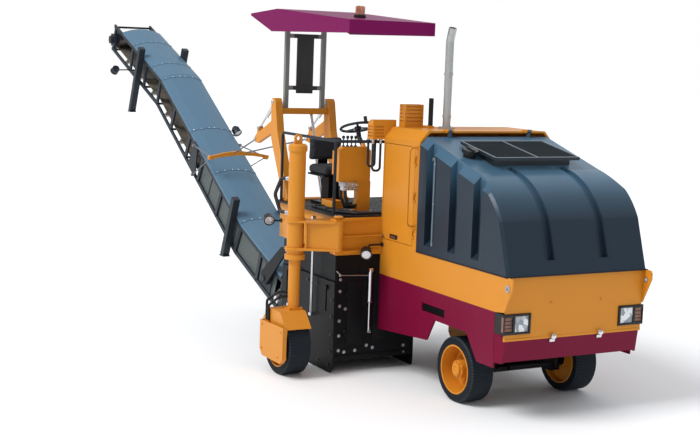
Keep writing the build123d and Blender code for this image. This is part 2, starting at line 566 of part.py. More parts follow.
# ---------------------------------------------------------------- rear frame, left column and platform
RIGHT_WEB = -1330.0
nodes["rear_frame"] = joined([
    block(DECK_REAR, BODY_REAR, RIGHT_WEB, RIGHT_WEB + PLATE, BOX_TOP, DECK_Z),
    block(DECK_REAR, BODY_REAR, BOX_LEFT - 60, BOX_LEFT - 60 + PLATE, BOX_TOP, DECK_Z),
    block(DECK_REAR, BODY_REAR, 400, 420, BOX_TOP, DECK_Z),
    block(BODY_REAR - 20, BODY_REAR, RIGHT_WEB, BODY_HALF - PLATE, BOX_TOP, DECK_Z),
    block(DECK_REAR, DECK_REAR + 20, RIGHT_WEB, 420, BOX_TOP, DECK_Z),
    block(-2790, -2710, RIGHT_WEB, 420, BOX_TOP, BOX_TOP + 120),
    # bracket that carries the swing arm's pin, above and below the arm
    prism_z([(HINGE_X - 62, HINGE_Y - 62), (HINGE_X + 62, HINGE_Y - 62), (BODY_REAR - 2, -BODY_HALF - 14),
             (BODY_REAR - 20, -BODY_HALF), (BODY_REAR - 20, RIGHT_WEB)], ARM_TOP + 0.3, DECK_Z),
    prism_z([(HINGE_X - 62, HINGE_Y - 62), (HINGE_X + 62, HINGE_Y - 62), (BODY_REAR - 2, -BODY_HALF - 14),
             (BODY_REAR - 20, -BODY_HALF), (BODY_REAR - 20, RIGHT_WEB)], ARM_LOW - 30.3, ARM_LOW - 0.3),
    rod((HINGE_X, HINGE_Y, ARM_LOW - 45), (HINGE_X, HINGE_Y, DECK_Z + 12), 26),
    block(BODY_REAR - 1, BODY_REAR + 38, RIGHT_WEB + 10, -BODY_HALF - 14, 1486, 1502),
    # plates that carry the left column
    block(COLUMN_X - 100, BODY_REAR - 19, LEFT_COLUMN_Y - 105, LEFT_COLUMN_Y + 105, ARM_LOW, ARM_LOW + ARM_PLATE),
    block(COLUMN_X - 100, BODY_REAR - 19, LEFT_COLUMN_Y - 105, LEFT_COLUMN_Y + 105, ARM_TOP - ARM_PLATE, ARM_TOP),
]) - rod((COLUMN_X, LEFT_COLUMN_Y, 1300), (COLUMN_X, LEFT_COLUMN_Y, 1700), COLUMN_RADIUS + FIT)


def column(low, collar_low, collar_top):
    """Outer tube of a lifting column about the Z axis, with its guide bush, collars, cap and lifting eye."""
    tube = pipe((0, 0, low), (0, 0, COLUMN_TOP), COLUMN_RADIUS, COLUMN_BORE)
    bush = pipe((0, 0, low), (0, 0, low + 110), COLUMN_RADIUS - 2, LEG_RADIUS + RUN)
    rings = [pipe((0, 0, low), (0, 0, low + 52), COLUMN_RADIUS + 20, COLUMN_RADIUS - 2),
             pipe((0, 0, collar_low), (0, 0, collar_low + 22), COLUMN_RADIUS + 14, COLUMN_RADIUS - 2),
             pipe((0, 0, collar_top), (0, 0, collar_top + 22), COLUMN_RADIUS + 14, COLUMN_RADIUS - 2),
             pipe((0, 0, COLUMN_TOP - 56), (0, 0, COLUMN_TOP), COLUMN_RADIUS + 12, COLUMN_RADIUS - 2)]
    cap = Pos(0, 0, COLUMN_TOP + 9.75) * Cone(COLUMN_RADIUS + 12, COLUMN_RADIUS - 6, 20.5)
    eye_z = COLUMN_TOP + 78
    lug = block(-15, 15, -44, 44, COLUMN_TOP + 19, eye_z) + rod((-15, 0, eye_z), (15, 0, eye_z), 44)
    lug = lug - rod((-20, 0, eye_z), (20, 0, eye_z), 22)
    return joined([tube, bush] + rings + [cap, lug])


nodes["column_left"] = Pos(COLUMN_X, LEFT_COLUMN_Y, 0) * column(COLUMN_LOW, ARM_LOW - 22.3, ARM_TOP + 0.3)
nodes["column_right"] = Pos(COLUMN_X, -COLUMN_Y, 0) * column(COLUMN_LOW, ARM_LOW - 22.3, ARM_TOP + 0.3)


def wheel_leg():
    """Inner tube, fender, side plate and flat guard box of a rear wheel; the guard is on the -Y side."""
    tube = rod((0, 0, FENDER_TOP - 1), (0, 0, LEG_TOP), LEG_RADIUS)
    half = TYRE_WIDTH / 2
    guard_y = REAR_WHEEL_SHIFT - half - 12
    fender = prism_y([(-300, 540), (-150, FENDER_TOP), (150, FENDER_TOP), (300, 540), (291, 532), (145, FENDER_TOP - 12),
                      (-145, FENDER_TOP - 12), (-291, 532)], guard_y - 24, REAR_WHEEL_SHIFT + half + 6)
    plate = prism_y([(-150, 180), (200, 180), (260, 300), (291, 534), (148, FENDER_TOP - 4), (-148, FENDER_TOP - 4),
                     (-291, 534), (-240, 300)], guard_y, guard_y - 24)
    guard = prism_y([(-250, 556), (-250, 240), (-190, 172), (262, 172), (320, 226), (320, 566)], guard_y - 70, guard_y - 23)
    guard = guard - prism_y([(-238, 600), (-238, 245), (-185, 184), (256, 184), (308, 232), (308, 600)],
                            guard_y - 60, guard_y - 24)
    motor = rod((0, guard_y - 61, TYRE_RADIUS), (0, guard_y, TYRE_RADIUS), 80)
    stub = rod((0, guard_y - 5, TYRE_RADIUS), (0, REAR_WHEEL_SHIFT + HUB_REACH - 36, TYRE_RADIUS), STUB_RADIUS)
    flange = rod((0, guard_y - 5, TYRE_RADIUS), (0, REAR_WHEEL_SHIFT + HUB_INNER - 0.3, TYRE_RADIUS), 62)
    foot = block(-85, 85, -85, 72, FENDER_TOP - 1, FENDER_TOP + 18)
    return joined([tube, fender, plate, guard, motor, stub, flange, foot])


LEG = wheel_leg()
nodes["wheel_leg_right"] = Pos(COLUMN_X, -COLUMN_Y, 0) * LEG
nodes["wheel_leg_left"] = Pos(COLUMN_X, LEFT_COLUMN_Y, 0) * LEG

def wheel_hoses():
    """Two hoses from the guard box up to the leg."""
    guard_y = REAR_WHEEL_SHIFT - TYRE_WIDTH / 2 - 12
    runs = []
    for x, top in ((-150, 880), (-104, 830)):
        runs.append(bent_rail([(x, guard_y - 42, 500), (x, guard_y - 42, top - 100), (x * 0.5, guard_y + 60, top),
                               (0, 0, top)], 40, 14))
        runs.append(block(x - 20, x + 20, guard_y - 60, guard_y - 24, 480, 520))
    return joined(runs) - rod((0, 0, 600), (0, 0, 1000), LEG_RADIUS)


nodes["wheel_leg_right"] = nodes["wheel_leg_right"] + Pos(COLUMN_X, -COLUMN_Y, 0) * wheel_hoses()
nodes["wheel_leg_left"] = nodes["wheel_leg_left"] + Pos(COLUMN_X, LEFT_COLUMN_Y, 0) * wheel_hoses()
column_hose = bent_rail([(0, 0, 2090), (-190, -90, 2090), (-290, -118, 1905), (-200, -92, 1726), (0, 0, 1726)], 60, 20)
nodes["column_hose"] = Pos(COLUMN_X, -COLUMN_Y, 0) * (column_hose - rod((0, 0, 1600), (0, 0, 2200), COLUMN_RADIUS))

# swing arm between the frame's pin and the right column
arm_dx = COLUMN_X - HINGE_X
arm_dy = -COLUMN_Y - HINGE_Y
ARM_LENGTH = math.hypot(arm_dx, arm_dy)
ARM_END = 112.0
ARM_ANGLE = math.degrees(math.atan2(arm_dy, arm_dx))
arm_plates = []
for low in (ARM_LOW, ARM_TOP - ARM_PLATE):
    arm_plates.append(prism_z([(0, -60), (0, 60), (ARM_LENGTH, ARM_END), (ARM_LENGTH, -ARM_END)], low, low + ARM_PLATE))
    arm_plates.append(rod((ARM_LENGTH, 0, low), (ARM_LENGTH, 0, low + ARM_PLATE), ARM_END))
    arm_plates.append(rod((0, 0, low), (0, 0, low + ARM_PLATE), 60))
barrel = rod((0, 0, ARM_LOW), (0, 0, ARM_TOP), 54)
webs = [block(0, ARM_LENGTH - 120, side * 40, side * 54, ARM_LOW + ARM_PLATE - 1, ARM_TOP - ARM_PLATE + 1)
        for side in (-1, 1)]
webs.append(block(ARM_LENGTH - 132, ARM_LENGTH - 112, -80, 80, ARM_LOW + ARM_PLATE - 1, ARM_TOP - ARM_PLATE + 1))
arm = joined(arm_plates + [barrel] + webs)
arm = arm - rod((0, 0, ARM_LOW - 1), (0, 0, ARM_TOP + 1), 26 + RUN)
arm = arm - rod((ARM_LENGTH, 0, ARM_LOW - 1), (ARM_LENGTH, 0, ARM_TOP + 1), COLUMN_RADIUS + RUN)
nodes["swing_arm"] = Pos(HINGE_X, HINGE_Y, 0) * Rot(0, 0, ARM_ANGLE) * arm

deck = block(DECK_REAR, BODY_REAR, RIGHT_WEB - 50, BODY_HALF - PLATE, DECK_Z, DECK_TOP)
deck = deck - rod((COLUMN_X, LEFT_COLUMN_Y, DECK_Z - 1), (COLUMN_X, LEFT_COLUMN_Y, DECK_TOP + 1), COLUMN_RADIUS + 20)
deck = deck - rod((HINGE_X, HINGE_Y, DECK_Z - 1), (HINGE_X, HINGE_Y, DECK_TOP + 1), 60)
nodes["platform"] = deck

# ---------------------------------------------------------------- drum box, drum and its plates
drum_box = block(BOX_REAR, BOX_FRONT, BOX_RIGHT, BOX_LEFT, BOX_LOW, BOX_TOP)
drum_box = drum_box - block(BOX_REAR - 1, BOX_FRONT - BOX_WALL, BOX_RIGHT + BOX_WALL, BOX_LEFT - BOX_WALL,
                            BOX_LOW - 1, BOX_TOP - BOX_WALL)
for wall_y in (BOX_RIGHT, BOX_LEFT - BOX_WALL):
    drum_box = drum_box - rod((DRUM_X, wall_y - 1, DRUM_Z), (DRUM_X, wall_y + BOX_WALL + 1, DRUM_Z), 60 + RUN)
nodes["drum_box"] = drum_box
DRUM_HALF = (BOX_LEFT - BOX_RIGHT) / 2 - BOX_WALL - 12
DRUM_Y = (BOX_LEFT + BOX_RIGHT) / 2
PICKS = 40


def drum():
    """Milling drum about the Y axis with pick holders on a chevron spiral."""
    core = pipe((0, -DRUM_HALF, 0), (0, DRUM_HALF, 0), DRUM_CORE, DRUM_CORE - 40)
    ends = [rod((0, side * DRUM_HALF * 0.86, 0), (0, side * DRUM_HALF * 0.92, 0), DRUM_CORE - 30)
            for side in (-1, 1)]
    shaft = rod((0, -(BOX_LEFT - BOX_RIGHT) / 2, 0), (0, (BOX_LEFT - BOX_RIGHT) / 2, 0), 60)
    pieces = [core, shaft] + ends
    for index in range(PICKS):
        across = -DRUM_HALF + 32 + index * (2 * DRUM_HALF - 64) / (PICKS - 1)
        angle = abs(across) * 0.9 + (index % 2) * 180
        holder = Box(96, 40, 74)
        tip = Pos(0, 0, 62) * Cone(20, 5, PICK_TIP - DRUM_CORE - 58)
        pick = Pos(0, 0, DRUM_CORE + 26) * (holder + tip)
        pieces.append(Rot(0, angle, 0) * Pos(0, across, 0) * pick)
    return joined(pieces)


nodes["milling_drum"] = Pos(DRUM_X, DRUM_Y, DRUM_Z) * drum()
SIDE_PLATE = [(-2700, 30), (-2600, 6), (-1480, 6), (-1404, 60), (-1420, 1000), (-2700, 1000)]
STUD_RADIUS = 15.0
STUD_HEAD = 28.0
STUD_X = (-2580.0, -1600.0)
STUD_Z = 920.0
PLATE_STROKE = 250.0
SCRAPER_STROKE = 180.0
SCRAPER_X = BOX_REAR - PLAY


def stud(foot, direction):
    """Headed guide stud that holds a sliding plate; direction points away from the box."""
    a, d = Vector(foot), Vector(direction)
    neck = 2 * PLAY + PLATE
    return joined([rod(a - d * 20, a + d * neck, STUD_RADIUS), rod(a + d * neck, a + d * (neck + 12), STUD_HEAD)])


def slot_y(x, y, low, high):
    """Vertical slot through a plate that lies across the Y axis, between two stud positions."""
    half = STUD_RADIUS + RUN
    return joined([block(x - half, x + half, y - 30, y + 30, low, high), rod((x, y - 30, low), (x, y + 30, low), half),
                   rod((x, y - 30, high), (x, y + 30, high), half)])


studs = []
for name, side, wall, outline in (("side_plate_right", -1, BOX_RIGHT, SIDE_PLATE),
                                  ("side_plate_left", 1, BOX_LEFT, [(min(x, BODY_REAR - PLAY), z) for x, z in SIDE_PLATE])):
    plate = prism_y(outline, wall + side * PLAY, wall + side * (PLAY + PLATE))
    for x in STUD_X:
        plate = plate - slot_y(x, wall + side * 16, STUD_Z - PLATE_STROKE, STUD_Z)
        studs.append(stud((x, wall, STUD_Z), (0, side, 0)))
    nodes[name] = plate
scraper = block(SCRAPER_X - PLATE, SCRAPER_X, BOX_RIGHT, BOX_LEFT, 12, 1000)
scraper = scraper - block(SCRAPER_X - 21, SCRAPER_X + 1, CONVEYOR_Y - 260, CONVEYOR_Y + 260, 330, 820)
for y in (BOX_RIGHT + 40, BOX_LEFT - 40):
    half = STUD_RADIUS + RUN
    for z in (STUD_Z - SCRAPER_STROKE, STUD_Z):
        scraper = scraper - rod((SCRAPER_X - 40, y, z), (SCRAPER_X + 10, y, z), half)
    scraper = scraper - block(SCRAPER_X - 40, SCRAPER_X + 10, y - half, y + half, STUD_Z - SCRAPER_STROKE, STUD_Z)
    studs.append(block(BOX_REAR, BOX_REAR + 40, y - 40, y + 40, STUD_Z - 60, STUD_Z + 60))
    studs.append(stud((BOX_REAR, y, STUD_Z), (-1, 0, 0)))
nodes["scraper"] = scraper
nodes["drum_box"] = joined([nodes["drum_box"]] + studs)

# telescopic cylinders that lift the right side plate: rod on the plate, barrel on the frame
LIFT_X = (-2440.0, -1880.0)
LIFT_Y = -1450.0
LIFT_ROD = 13.0
rods, barrels = [], []
for x in LIFT_X:
    rods.append(block(x - 28, x + 28, BOX_RIGHT - PLAY - PLATE - 56, BOX_RIGHT - PLAY - PLATE, 560, 590)
                + rod((x, LIFT_Y, 575), (x, LIFT_Y, 1390), LIFT_ROD))
    barrels.append(pipe((x, LIFT_Y, 1310), (x, LIFT_Y, 1662), 27, LIFT_ROD + RUN))
    for z in (1330, 1600):
        barrels.append(block(x - 20, x + 20, LIFT_Y + 20, RIGHT_WEB, z, z + 30))
barrels = joined(barrels)
for x in LIFT_X:
    barrels = barrels - rod((x, LIFT_Y, 1300), (x, LIFT_Y, 1655), LIFT_ROD + RUN)
nodes["side_plate_rods"] = Compound(children=rods)
gate_x = BOX_FRONT + 32
gate_cylinder = joined([
    rod((gate_x, -970, 770), (gate_x, -970, 1120), 24), rod((gate_x, -970, 430), (gate_x, -970, 775), 12),
    block(BOX_FRONT, gate_x + 18, -994, -946, 1096, 1136), block(BOX_FRONT, gate_x + 16, -990, -950, 424, 448),
    block(BOX_FRONT, gate_x + 8, -998, -942, 752, 772),
])

# ---------------------------------------------------------------- operator's place
SEAT_X = -2500.0
nodes["seat_base"] = joined([
    block(SEAT_X - 170, SEAT_X + 170, MACHINE_Y - 180, MACHINE_Y + 180, DECK_TOP, DECK_TOP + 30),
    block(SEAT_X - 90, SEAT_X + 90, MACHINE_Y - 90, MACHINE_Y + 90, DECK_TOP + 29, 2040),
    block(SEAT_X - 210, SEAT_X + 210, MACHINE_Y - 210, MACHINE_Y + 210, 2039, 2059),
    block(SEAT_X - 262, SEAT_X - 240, MACHINE_Y - 60, MACHINE_Y + 60, 2039, 2300),
    block(SEAT_X - 250, SEAT_X - 200, MACHINE_Y - 60, MACHINE_Y + 60, 2039, 2059),
])
nodes["seat_cushions"] = Compound(children=[
    block(SEAT_X - 225, SEAT_X + 250, MACHINE_Y - 230, MACHINE_Y + 230, 2059.3, 2170),
    block(SEAT_X - 239.7, SEAT_X - 140, MACHINE_Y - 220, MACHINE_Y + 220, 2185, 2480),
])
PANEL_X = -1750.0
panel = prism_x([(-1250, 2050), (-860, 2050), (-860, 2385), (-900, 2430), (-1205, 2430), (-1250, 2385)], PANEL_X - 40,
                PANEL_X + 40)
panel_post = block(PANEL_X - 45, PANEL_X + 35, -1010, -850, DECK_TOP, 2051)
panel_foot = block(PANEL_X - 70, PANEL_X + 60, -1040, -820, DECK_TOP, DECK_TOP + 16)
cheeks = [block(PANEL_X - 120, PANEL_X - 39, y, y + 12, 2120, 2380) for y in (-1250, -872)]
nodes["console"] = joined([panel, panel_post, panel_foot] + cheeks)
WHEEL_X = -1930.0
WHEEL_Z = 2630.0
steer_place = Plane(origin=(WHEEL_X, MACHINE_Y, WHEEL_Z), z_dir=(-0.35, 0, 1))
STEER_AXIS = steer_place.z_dir
column_end = steer_place.origin - STEER_AXIS * 34
SPINDLE = 9.0
column_knee = steer_place.origin - STEER_AXIS * 120
nodes["console"] = joined([nodes["console"], rod((PANEL_X, MACHINE_Y, 2400), column_knee, 26),
                           Pos(column_knee) * Sphere(26), rod(column_knee, column_end, 26),
                           rod(column_end, steer_place.origin - STEER_AXIS * 8, SPINDLE)])
spokes = [steer_place * (Rot(0, 0, turn) * (Pos(90, 0, -10) * Box(190, 26, 12))) for turn in (90, 210, 330)]
steer_hub = steer_place * (Pos(0, 0, -14) * Cylinder(38, 36))
steer_rim = steer_place * Torus(190, 15)
knob = steer_place * (Pos(190, 0, 40) * Cylinder(20, 56))
nodes["steering_wheel"] = joined([steer_rim, steer_hub] + spokes + [knob]) - rod(
    column_end - STEER_AXIS * 9, steer_place.origin - STEER_AXIS * 7, SPINDLE + RUN)

control_box = prism_y([(BODY_REAR, 2530), (-1580, 2530), (-1580, 2690), (-1530, 2740), (BODY_REAR, 2740)], -985, -700)
for z in (2556, 2590, 2624, 2658):
    control_box = control_box - block(-1570, -1470, -986, -974, z, z + 15) - block(-1472, -1459, -960, -850, z, z + 15)
loops = []
for x, low, y0, y1 in ((-1486, 2190, -968, -872), (-1578 + 6, 2230, -975, -890)):
    loops.append(bent_rail([(x, y0, 2530), (x, y0, low), (x, y1, low), (x, y1, 2530)], 40, 13))
drops = []
for index, x in enumerate((PANEL_X - 18, PANEL_X + 18)):
    drops.append(bent_rail([(x, -1190 + index * 40, 2050), (x, -1190 + index * 40, 1890), (x, -1130 + index * 20,
                                                                                       1764 + index * 20),
                            (x, -1010, 1764 + index * 20)], 40, 17))
deck_runs = []
for index in range(3):
    off = index * 38
    z = DECK_TOP + 16
    deck_runs.append(bent_rail([(-2230 + off, -1290 + off, z), (-1690 - off * 0.4, -1290 + off, z),
                                (-1516 - off, -1120 + off * 0.4, z), (-1516 - off, -800 + off, z),
                                (BODY_REAR, -800 + off, z)], 50, 16))
for x in (-2150, -1900):
    deck_runs.append(block(x, x + 26, -1312, -1192, DECK_TOP, DECK_TOP + 38))
nodes["hydraulic_hoses"] = Compound([solid for shape in loops + drops + [joined(deck_runs)]
                                     for solid in shape.solids()])
tray = block(-2290, -2030, -1260, -1120, DECK_TOP, 1800) - block(-2280, -2040, -1250, -1130, DECK_TOP + 12, 1801)
console_group = list(nodes["console"].solids()) + list(control_box.solids()) + list(vent_box.solids())
nodes["console"] = Compound(console_group + list((Pos(0, 110, 0) * tray).solids()))

RAIL_HEIGHT = 2500.0
RAIL_Y_OUT = -1350.0
nodes["handrail"] = joined([
    bent_rail([(-2930, RAIL_Y_OUT, DECK_TOP), (-2930, RAIL_Y_OUT, RAIL_HEIGHT), (-1570, RAIL_Y_OUT, RAIL_HEIGHT),
               (-1520, -780, RAIL_HEIGHT), (BODY_REAR, -780, RAIL_HEIGHT)], 45, 17),
    rod((-1610, RAIL_Y_OUT, DECK_TOP), (-1610, RAIL_Y_OUT, RAIL_HEIGHT - 8), 17),
])

# ---------------------------------------------------------------- mast, posts and canopy
mast_pieces = []
for side in (-1, 1):
    y = MACHINE_Y + side * MAST_HALF
    leg = prism_y([(MAST_FOOT_X - 70, DECK_TOP), (MAST_FOOT_X + 70, DECK_TOP), (MAST_TOP_X + 130, 2500),
                   (MAST_TOP_X + 60, MAST_TOP_Z - 40), (MAST_TOP_X + 30, MAST_TOP_Z), (MAST_TOP_X - 30, MAST_TOP_Z),
                   (MAST_TOP_X - 60, MAST_TOP_Z - 60), (MAST_TOP_X - 40, 2400)], y - 45, y + 45)
    mast_pieces.append(leg)
mast_pieces.append(block(MAST_TOP_X - 40, MAST_TOP_X + 60, MACHINE_Y - MAST_HALF, MACHINE_Y + MAST_HALF,
                         CROSSBEAM_Z - 45, CROSSBEAM_Z + 25))
mast_pieces.append(block(MAST_FOOT_X - 75, MAST_FOOT_X + 75, MACHINE_Y - MAST_HALF - 60, MACHINE_Y + MAST_HALF + 60,
                         DECK_TOP, DECK_TOP + 24))
nodes["mast"] = joined(mast_pieces)
posts = [block(MAST_TOP_X - 15, MAST_TOP_X + 35, MACHINE_Y + side * POST_HALF - 25, MACHINE_Y + side * POST_HALF + 25,
               CROSSBEAM_Z + 25, CANOPY_LOW + 60) for side in (-1, 1)]
cross = [block(MAST_TOP_X - 10, MAST_TOP_X + 30, MACHINE_Y - POST_HALF, MACHINE_Y + POST_HALF, z, z + 50)
         for z in (CROSSBEAM_Z + 240, CANOPY_LOW - 60)]
panel = block(MAST_TOP_X + 4, MAST_TOP_X + 16, MACHINE_Y - 110, MACHINE_Y + 110, CROSSBEAM_Z + 200, CANOPY_LOW - 20)
nodes["canopy_posts"] = joined(posts + cross + [panel])
CANOPY_FRONT = -1240.0
CANOPY_REAR = -3150.0
CANOPY_TAIL = -3730.0
CANOPY_HALF = 520.0
CANOPY_WALL = 12.0
canopy_side = [(CANOPY_FRONT, CANOPY_LOW), (CANOPY_FRONT, CANOPY_LOW + 135), (CANOPY_REAR + 150, CANOPY_LOW + 262),
               (CANOPY_TAIL, CANOPY_LOW + 215), (CANOPY_TAIL, CANOPY_LOW + 190), (CANOPY_REAR, CANOPY_LOW + 10)]
canopy_void = [(CANOPY_FRONT - CANOPY_WALL, CANOPY_LOW - 1), (CANOPY_FRONT - CANOPY_WALL, CANOPY_LOW + 122),
               (CANOPY_REAR + 150, CANOPY_LOW + 250), (CANOPY_TAIL + CANOPY_WALL, CANOPY_LOW + 203),
               (CANOPY_TAIL + CANOPY_WALL, CANOPY_LOW + 180), (CANOPY_REAR, CANOPY_LOW - 2)]
canopy = prism_y(canopy_side, MACHINE_Y - CANOPY_HALF, MACHINE_Y + CANOPY_HALF)
canopy = canopy - prism_y(canopy_void, MACHINE_Y - CANOPY_HALF + CANOPY_WALL, MACHINE_Y + CANOPY_HALF - CANOPY_WALL)
ribs = [block(x, x + 40, MACHINE_Y - CANOPY_HALF + 5, MACHINE_Y + CANOPY_HALF - 5, CANOPY_LOW + 60, CANOPY_LOW + 100)
        for x in (MAST_TOP_X - 5, -2300)]
canopy = joined([canopy] + ribs)
for side in (-1, 1):
    canopy = canopy - block(MAST_TOP_X - 15.2, MAST_TOP_X + 35.2, MACHINE_Y + side * POST_HALF - 25.2,
                            MACHINE_Y + side * POST_HALF + 25.2, CANOPY_LOW - 50, CANOPY_LOW + 60.2)
nodes["canopy"] = canopy
BEACON_X = -1700.0
beacon_z = CANOPY_LOW + 135 + (CANOPY_FRONT - BEACON_X) * 127 / (CANOPY_FRONT - CANOPY_REAR - 150)
beacon_place = Pos(BEACON_X, MACHINE_Y - 150, beacon_z) * Rot(0, math.degrees(math.atan(127 / 1760)), 0)
nodes["beacon"] = beacon_place * (Pos(0, 0, 17) * Cylinder(62, 34) + Pos(0, 0, 75) * Cylinder(52, 84)
                                  + Pos(0, 0, 120) * Cylinder(40, 8))

# ---------------------------------------------------------------- conveyor
def band_outline(up, down, ends=0.0):
    """Outline along the conveyor's middle line, offset to both sides and lengthened at the ends."""
    path = [Vector(x, z) for x, z in CONVEYOR_PATH]
    path[0] = path[0] + (path[0] - path[1]).normalized() * ends
    path[-1] = path[-1] + (path[-1] - path[-2]).normalized() * ends
    normals = []
    for a, b in zip(path, path[1:]):
        run = (b - a).normalized()
        normals.append(Vector(run.Y, -run.X))

    def side(distance):
        line = []
        for index, point in enumerate(path):
            before = normals[max(index - 1, 0)]
            after = normals[min(index, len(normals) - 1)]
            mitre = (before + after).normalized()
            line.append(point + mitre * (distance / mitre.dot(before)))
        return line

    upper = side(up)
    lower = side(-down)
    return [(p.X, p.Y) for p in upper + lower[::-1]]


def along(segment, share, height):
    """Point at a share of one straight run of the conveyor and a height above its middle line, as (x, z)."""
    (x0, z0), (x1, z1) = CONVEYOR_PATH[segment], CONVEYOR_PATH[segment + 1]
    length = math.hypot(x1 - x0, z1 - z0)
    up_x, up_z = (z1 - z0) / length, -(x1 - x0) / length
    return x0 + (x1 - x0) * share + up_x * height, z0 + (z1 - z0) * share + up_z * height


def run_length(segment):
    """Length and unit direction of one straight run of the conveyor."""
    (x0, z0), (x1, z1) = CONVEYOR_PATH[segment], CONVEYOR_PATH[segment + 1]
    length = math.hypot(x1 - x0, z1 - z0)
    return length, (x1 - x0) / length, (z1 - z0) / length


def shell_section(half, base, shoulder, rise, wall):
    """Ring outline of the faceted conveyor cover, as (y, height)."""
    outer = [(-half, base), (-half, shoulder), (-half * 0.62, rise - 18), (-half * 0.22, rise), (half * 0.22, rise),
             (half * 0.62, rise - 18), (half, shoulder), (half, base)]
    inner_half = half - wall
    inner = [(inner_half, base), (inner_half, shoulder - wall * 0.6), (half * 0.62 - 3, rise - 18 - wall),
             (half * 0.22, rise - wall), (-half * 0.22, rise - wall), (-half * 0.62 + 3, rise - 18 - wall),
             (-inner_half, shoulder - wall * 0.6), (-inner_half, base)]
    return outer + inner


def swept_run(segment, section, low, high, ends=0.0):
    """Extrude a (y, height) section along one straight run, mitred where runs meet."""
    length, run_x, run_z = run_length(segment)
    (x0, z0) = CONVEYOR_PATH[segment]
    start = Plane(origin=(x0 - run_x * 600, CONVEYOR_Y, z0 - run_z * 600), x_dir=(0, 1, 0), z_dir=(run_x, 0, run_z))
    face = make_face(start * Polyline([(y, -height) for y, height in section], close=True))
    solid = extrude(face, amount=length + 1200, dir=(run_x, 0, run_z))
    outline = band_outline(high, -low, ends)
    count = len(CONVEYOR_PATH)
    upper, lower = outline[:count], outline[count:][::-1]
    wedge = prism_y([upper[segment], upper[segment + 1], lower[segment + 1], lower[segment]],
                    CONVEYOR_Y - 1000, CONVEYOR_Y + 1000)
    return solid & wedge


FRAME_IN = CONVEYOR_HALF - 26
END_RUN = 130.0
frame_pieces = []
for side in (-1, 1):
    y0, y1 = CONVEYOR_Y + side * FRAME_IN, CONVEYOR_Y + side * CONVEYOR_HALF
    frame_pieces.append(prism_y(band_outline(TRUSS_HALF, CHORD - TRUSS_HALF, END_RUN), y0, y1))
    frame_pieces.append(prism_y(band_outline(CHORD - TRUSS_HALF, TRUSS_HALF, END_RUN), y0, y1))
# run, share of the run where an upright stands
UPRIGHTS = [(0, -0.06), (0, 0.5), (1, 0.0), (1, 0.22), (1, 0.44), (1, 0.60), (1, 0.80), (2, 0.0), (2, 0.30), (2, 0.61),
            (2, 1.03)]
REACH = TRUSS_HALF - CHORD / 2
for side in (-1, 1):
    mid_y = CONVEYOR_Y + side * (CONVEYOR_HALF + FRAME_IN) / 2
    for segment, share in UPRIGHTS:
        (xa, za), (xb, zb) = along(segment, share, -REACH), along(segment, share, REACH)
        frame_pieces.append(bar((xa, mid_y, za), (xb, mid_y, zb), 26, 66))
for segment, share in UPRIGHTS:
    for height in (-REACH, REACH):
        xa, za = along(segment, share, height)
        frame_pieces.append(rod((xa, CONVEYOR_Y - FRAME_IN - 1, za), (xa, CONVEYOR_Y + FRAME_IN + 1, za), 16))
# side sheets on the lower part
INFILL_HALF = 168.0
sheets = []
for side in (-1, 1):
    y0 = CONVEYOR_Y + side * FRAME_IN
    corners = [along(0, 0.14, -INFILL_HALF), along(1, 0.0, -INFILL_HALF), along(1, 0.44, -INFILL_HALF),
               along(1, 0.44, INFILL_HALF), along(1, 0.0, INFILL_HALF), along(0, 0.14, INFILL_HALF)]
    sheets.append(prism_y(corners, y0 - side * SHEET, y0))
nodes["conveyor_infill"] = Compound(children=sheets)
# bearing plates at both pulleys
PULLEYS = [CONVEYOR_PATH[0], CONVEYOR_PATH[-1]]
for segment, share in ((0, 0.0), (2, 1.0)):
    corners = [along(segment, share - 0.04, -REACH), along(segment, share - 0.04, REACH),
               along(segment, share + 0.04, REACH), along(segment, share + 0.04, -REACH)]
    for side in (-1, 1):
        y0 = CONVEYOR_Y + side * FRAME_IN
        frame_pieces.append(prism_y(corners, y0, y0 + side * 12))
# pins and plates the conveyor tips on
PIN_RADIUS = 35.0
for side in (-1, 1):
    y0 = CONVEYOR_Y + side * FRAME_IN
    y1 = CONVEYOR_Y + side * (CONVEYOR_HALF + 54)
    frame_pieces.append(rod((LUFF_X, y0, LUFF_Z), (LUFF_X, y1, LUFF_Z), PIN_RADIUS))
    frame_pieces.append(rod((LUFF_X, y0, LUFF_Z), (LUFF_X, CONVEYOR_Y + side * CONVEYOR_HALF, LUFF_Z), 80))
    corners = [along(0, 0.21, -REACH), along(0, 0.21, REACH), along(0, 0.39, REACH), along(0, 0.39, -REACH)]
    frame_pieces.append(prism_y(corners, y0, y0 + side * 12))
# drive at the head
head_x, head_z = CONVEYOR_PATH[-1]
frame_pieces.append(rod((head_x, CONVEYOR_Y - CONVEYOR_HALF - 90, head_z), (head_x, CONVEYOR_Y - FRAME_IN, head_z), 62))
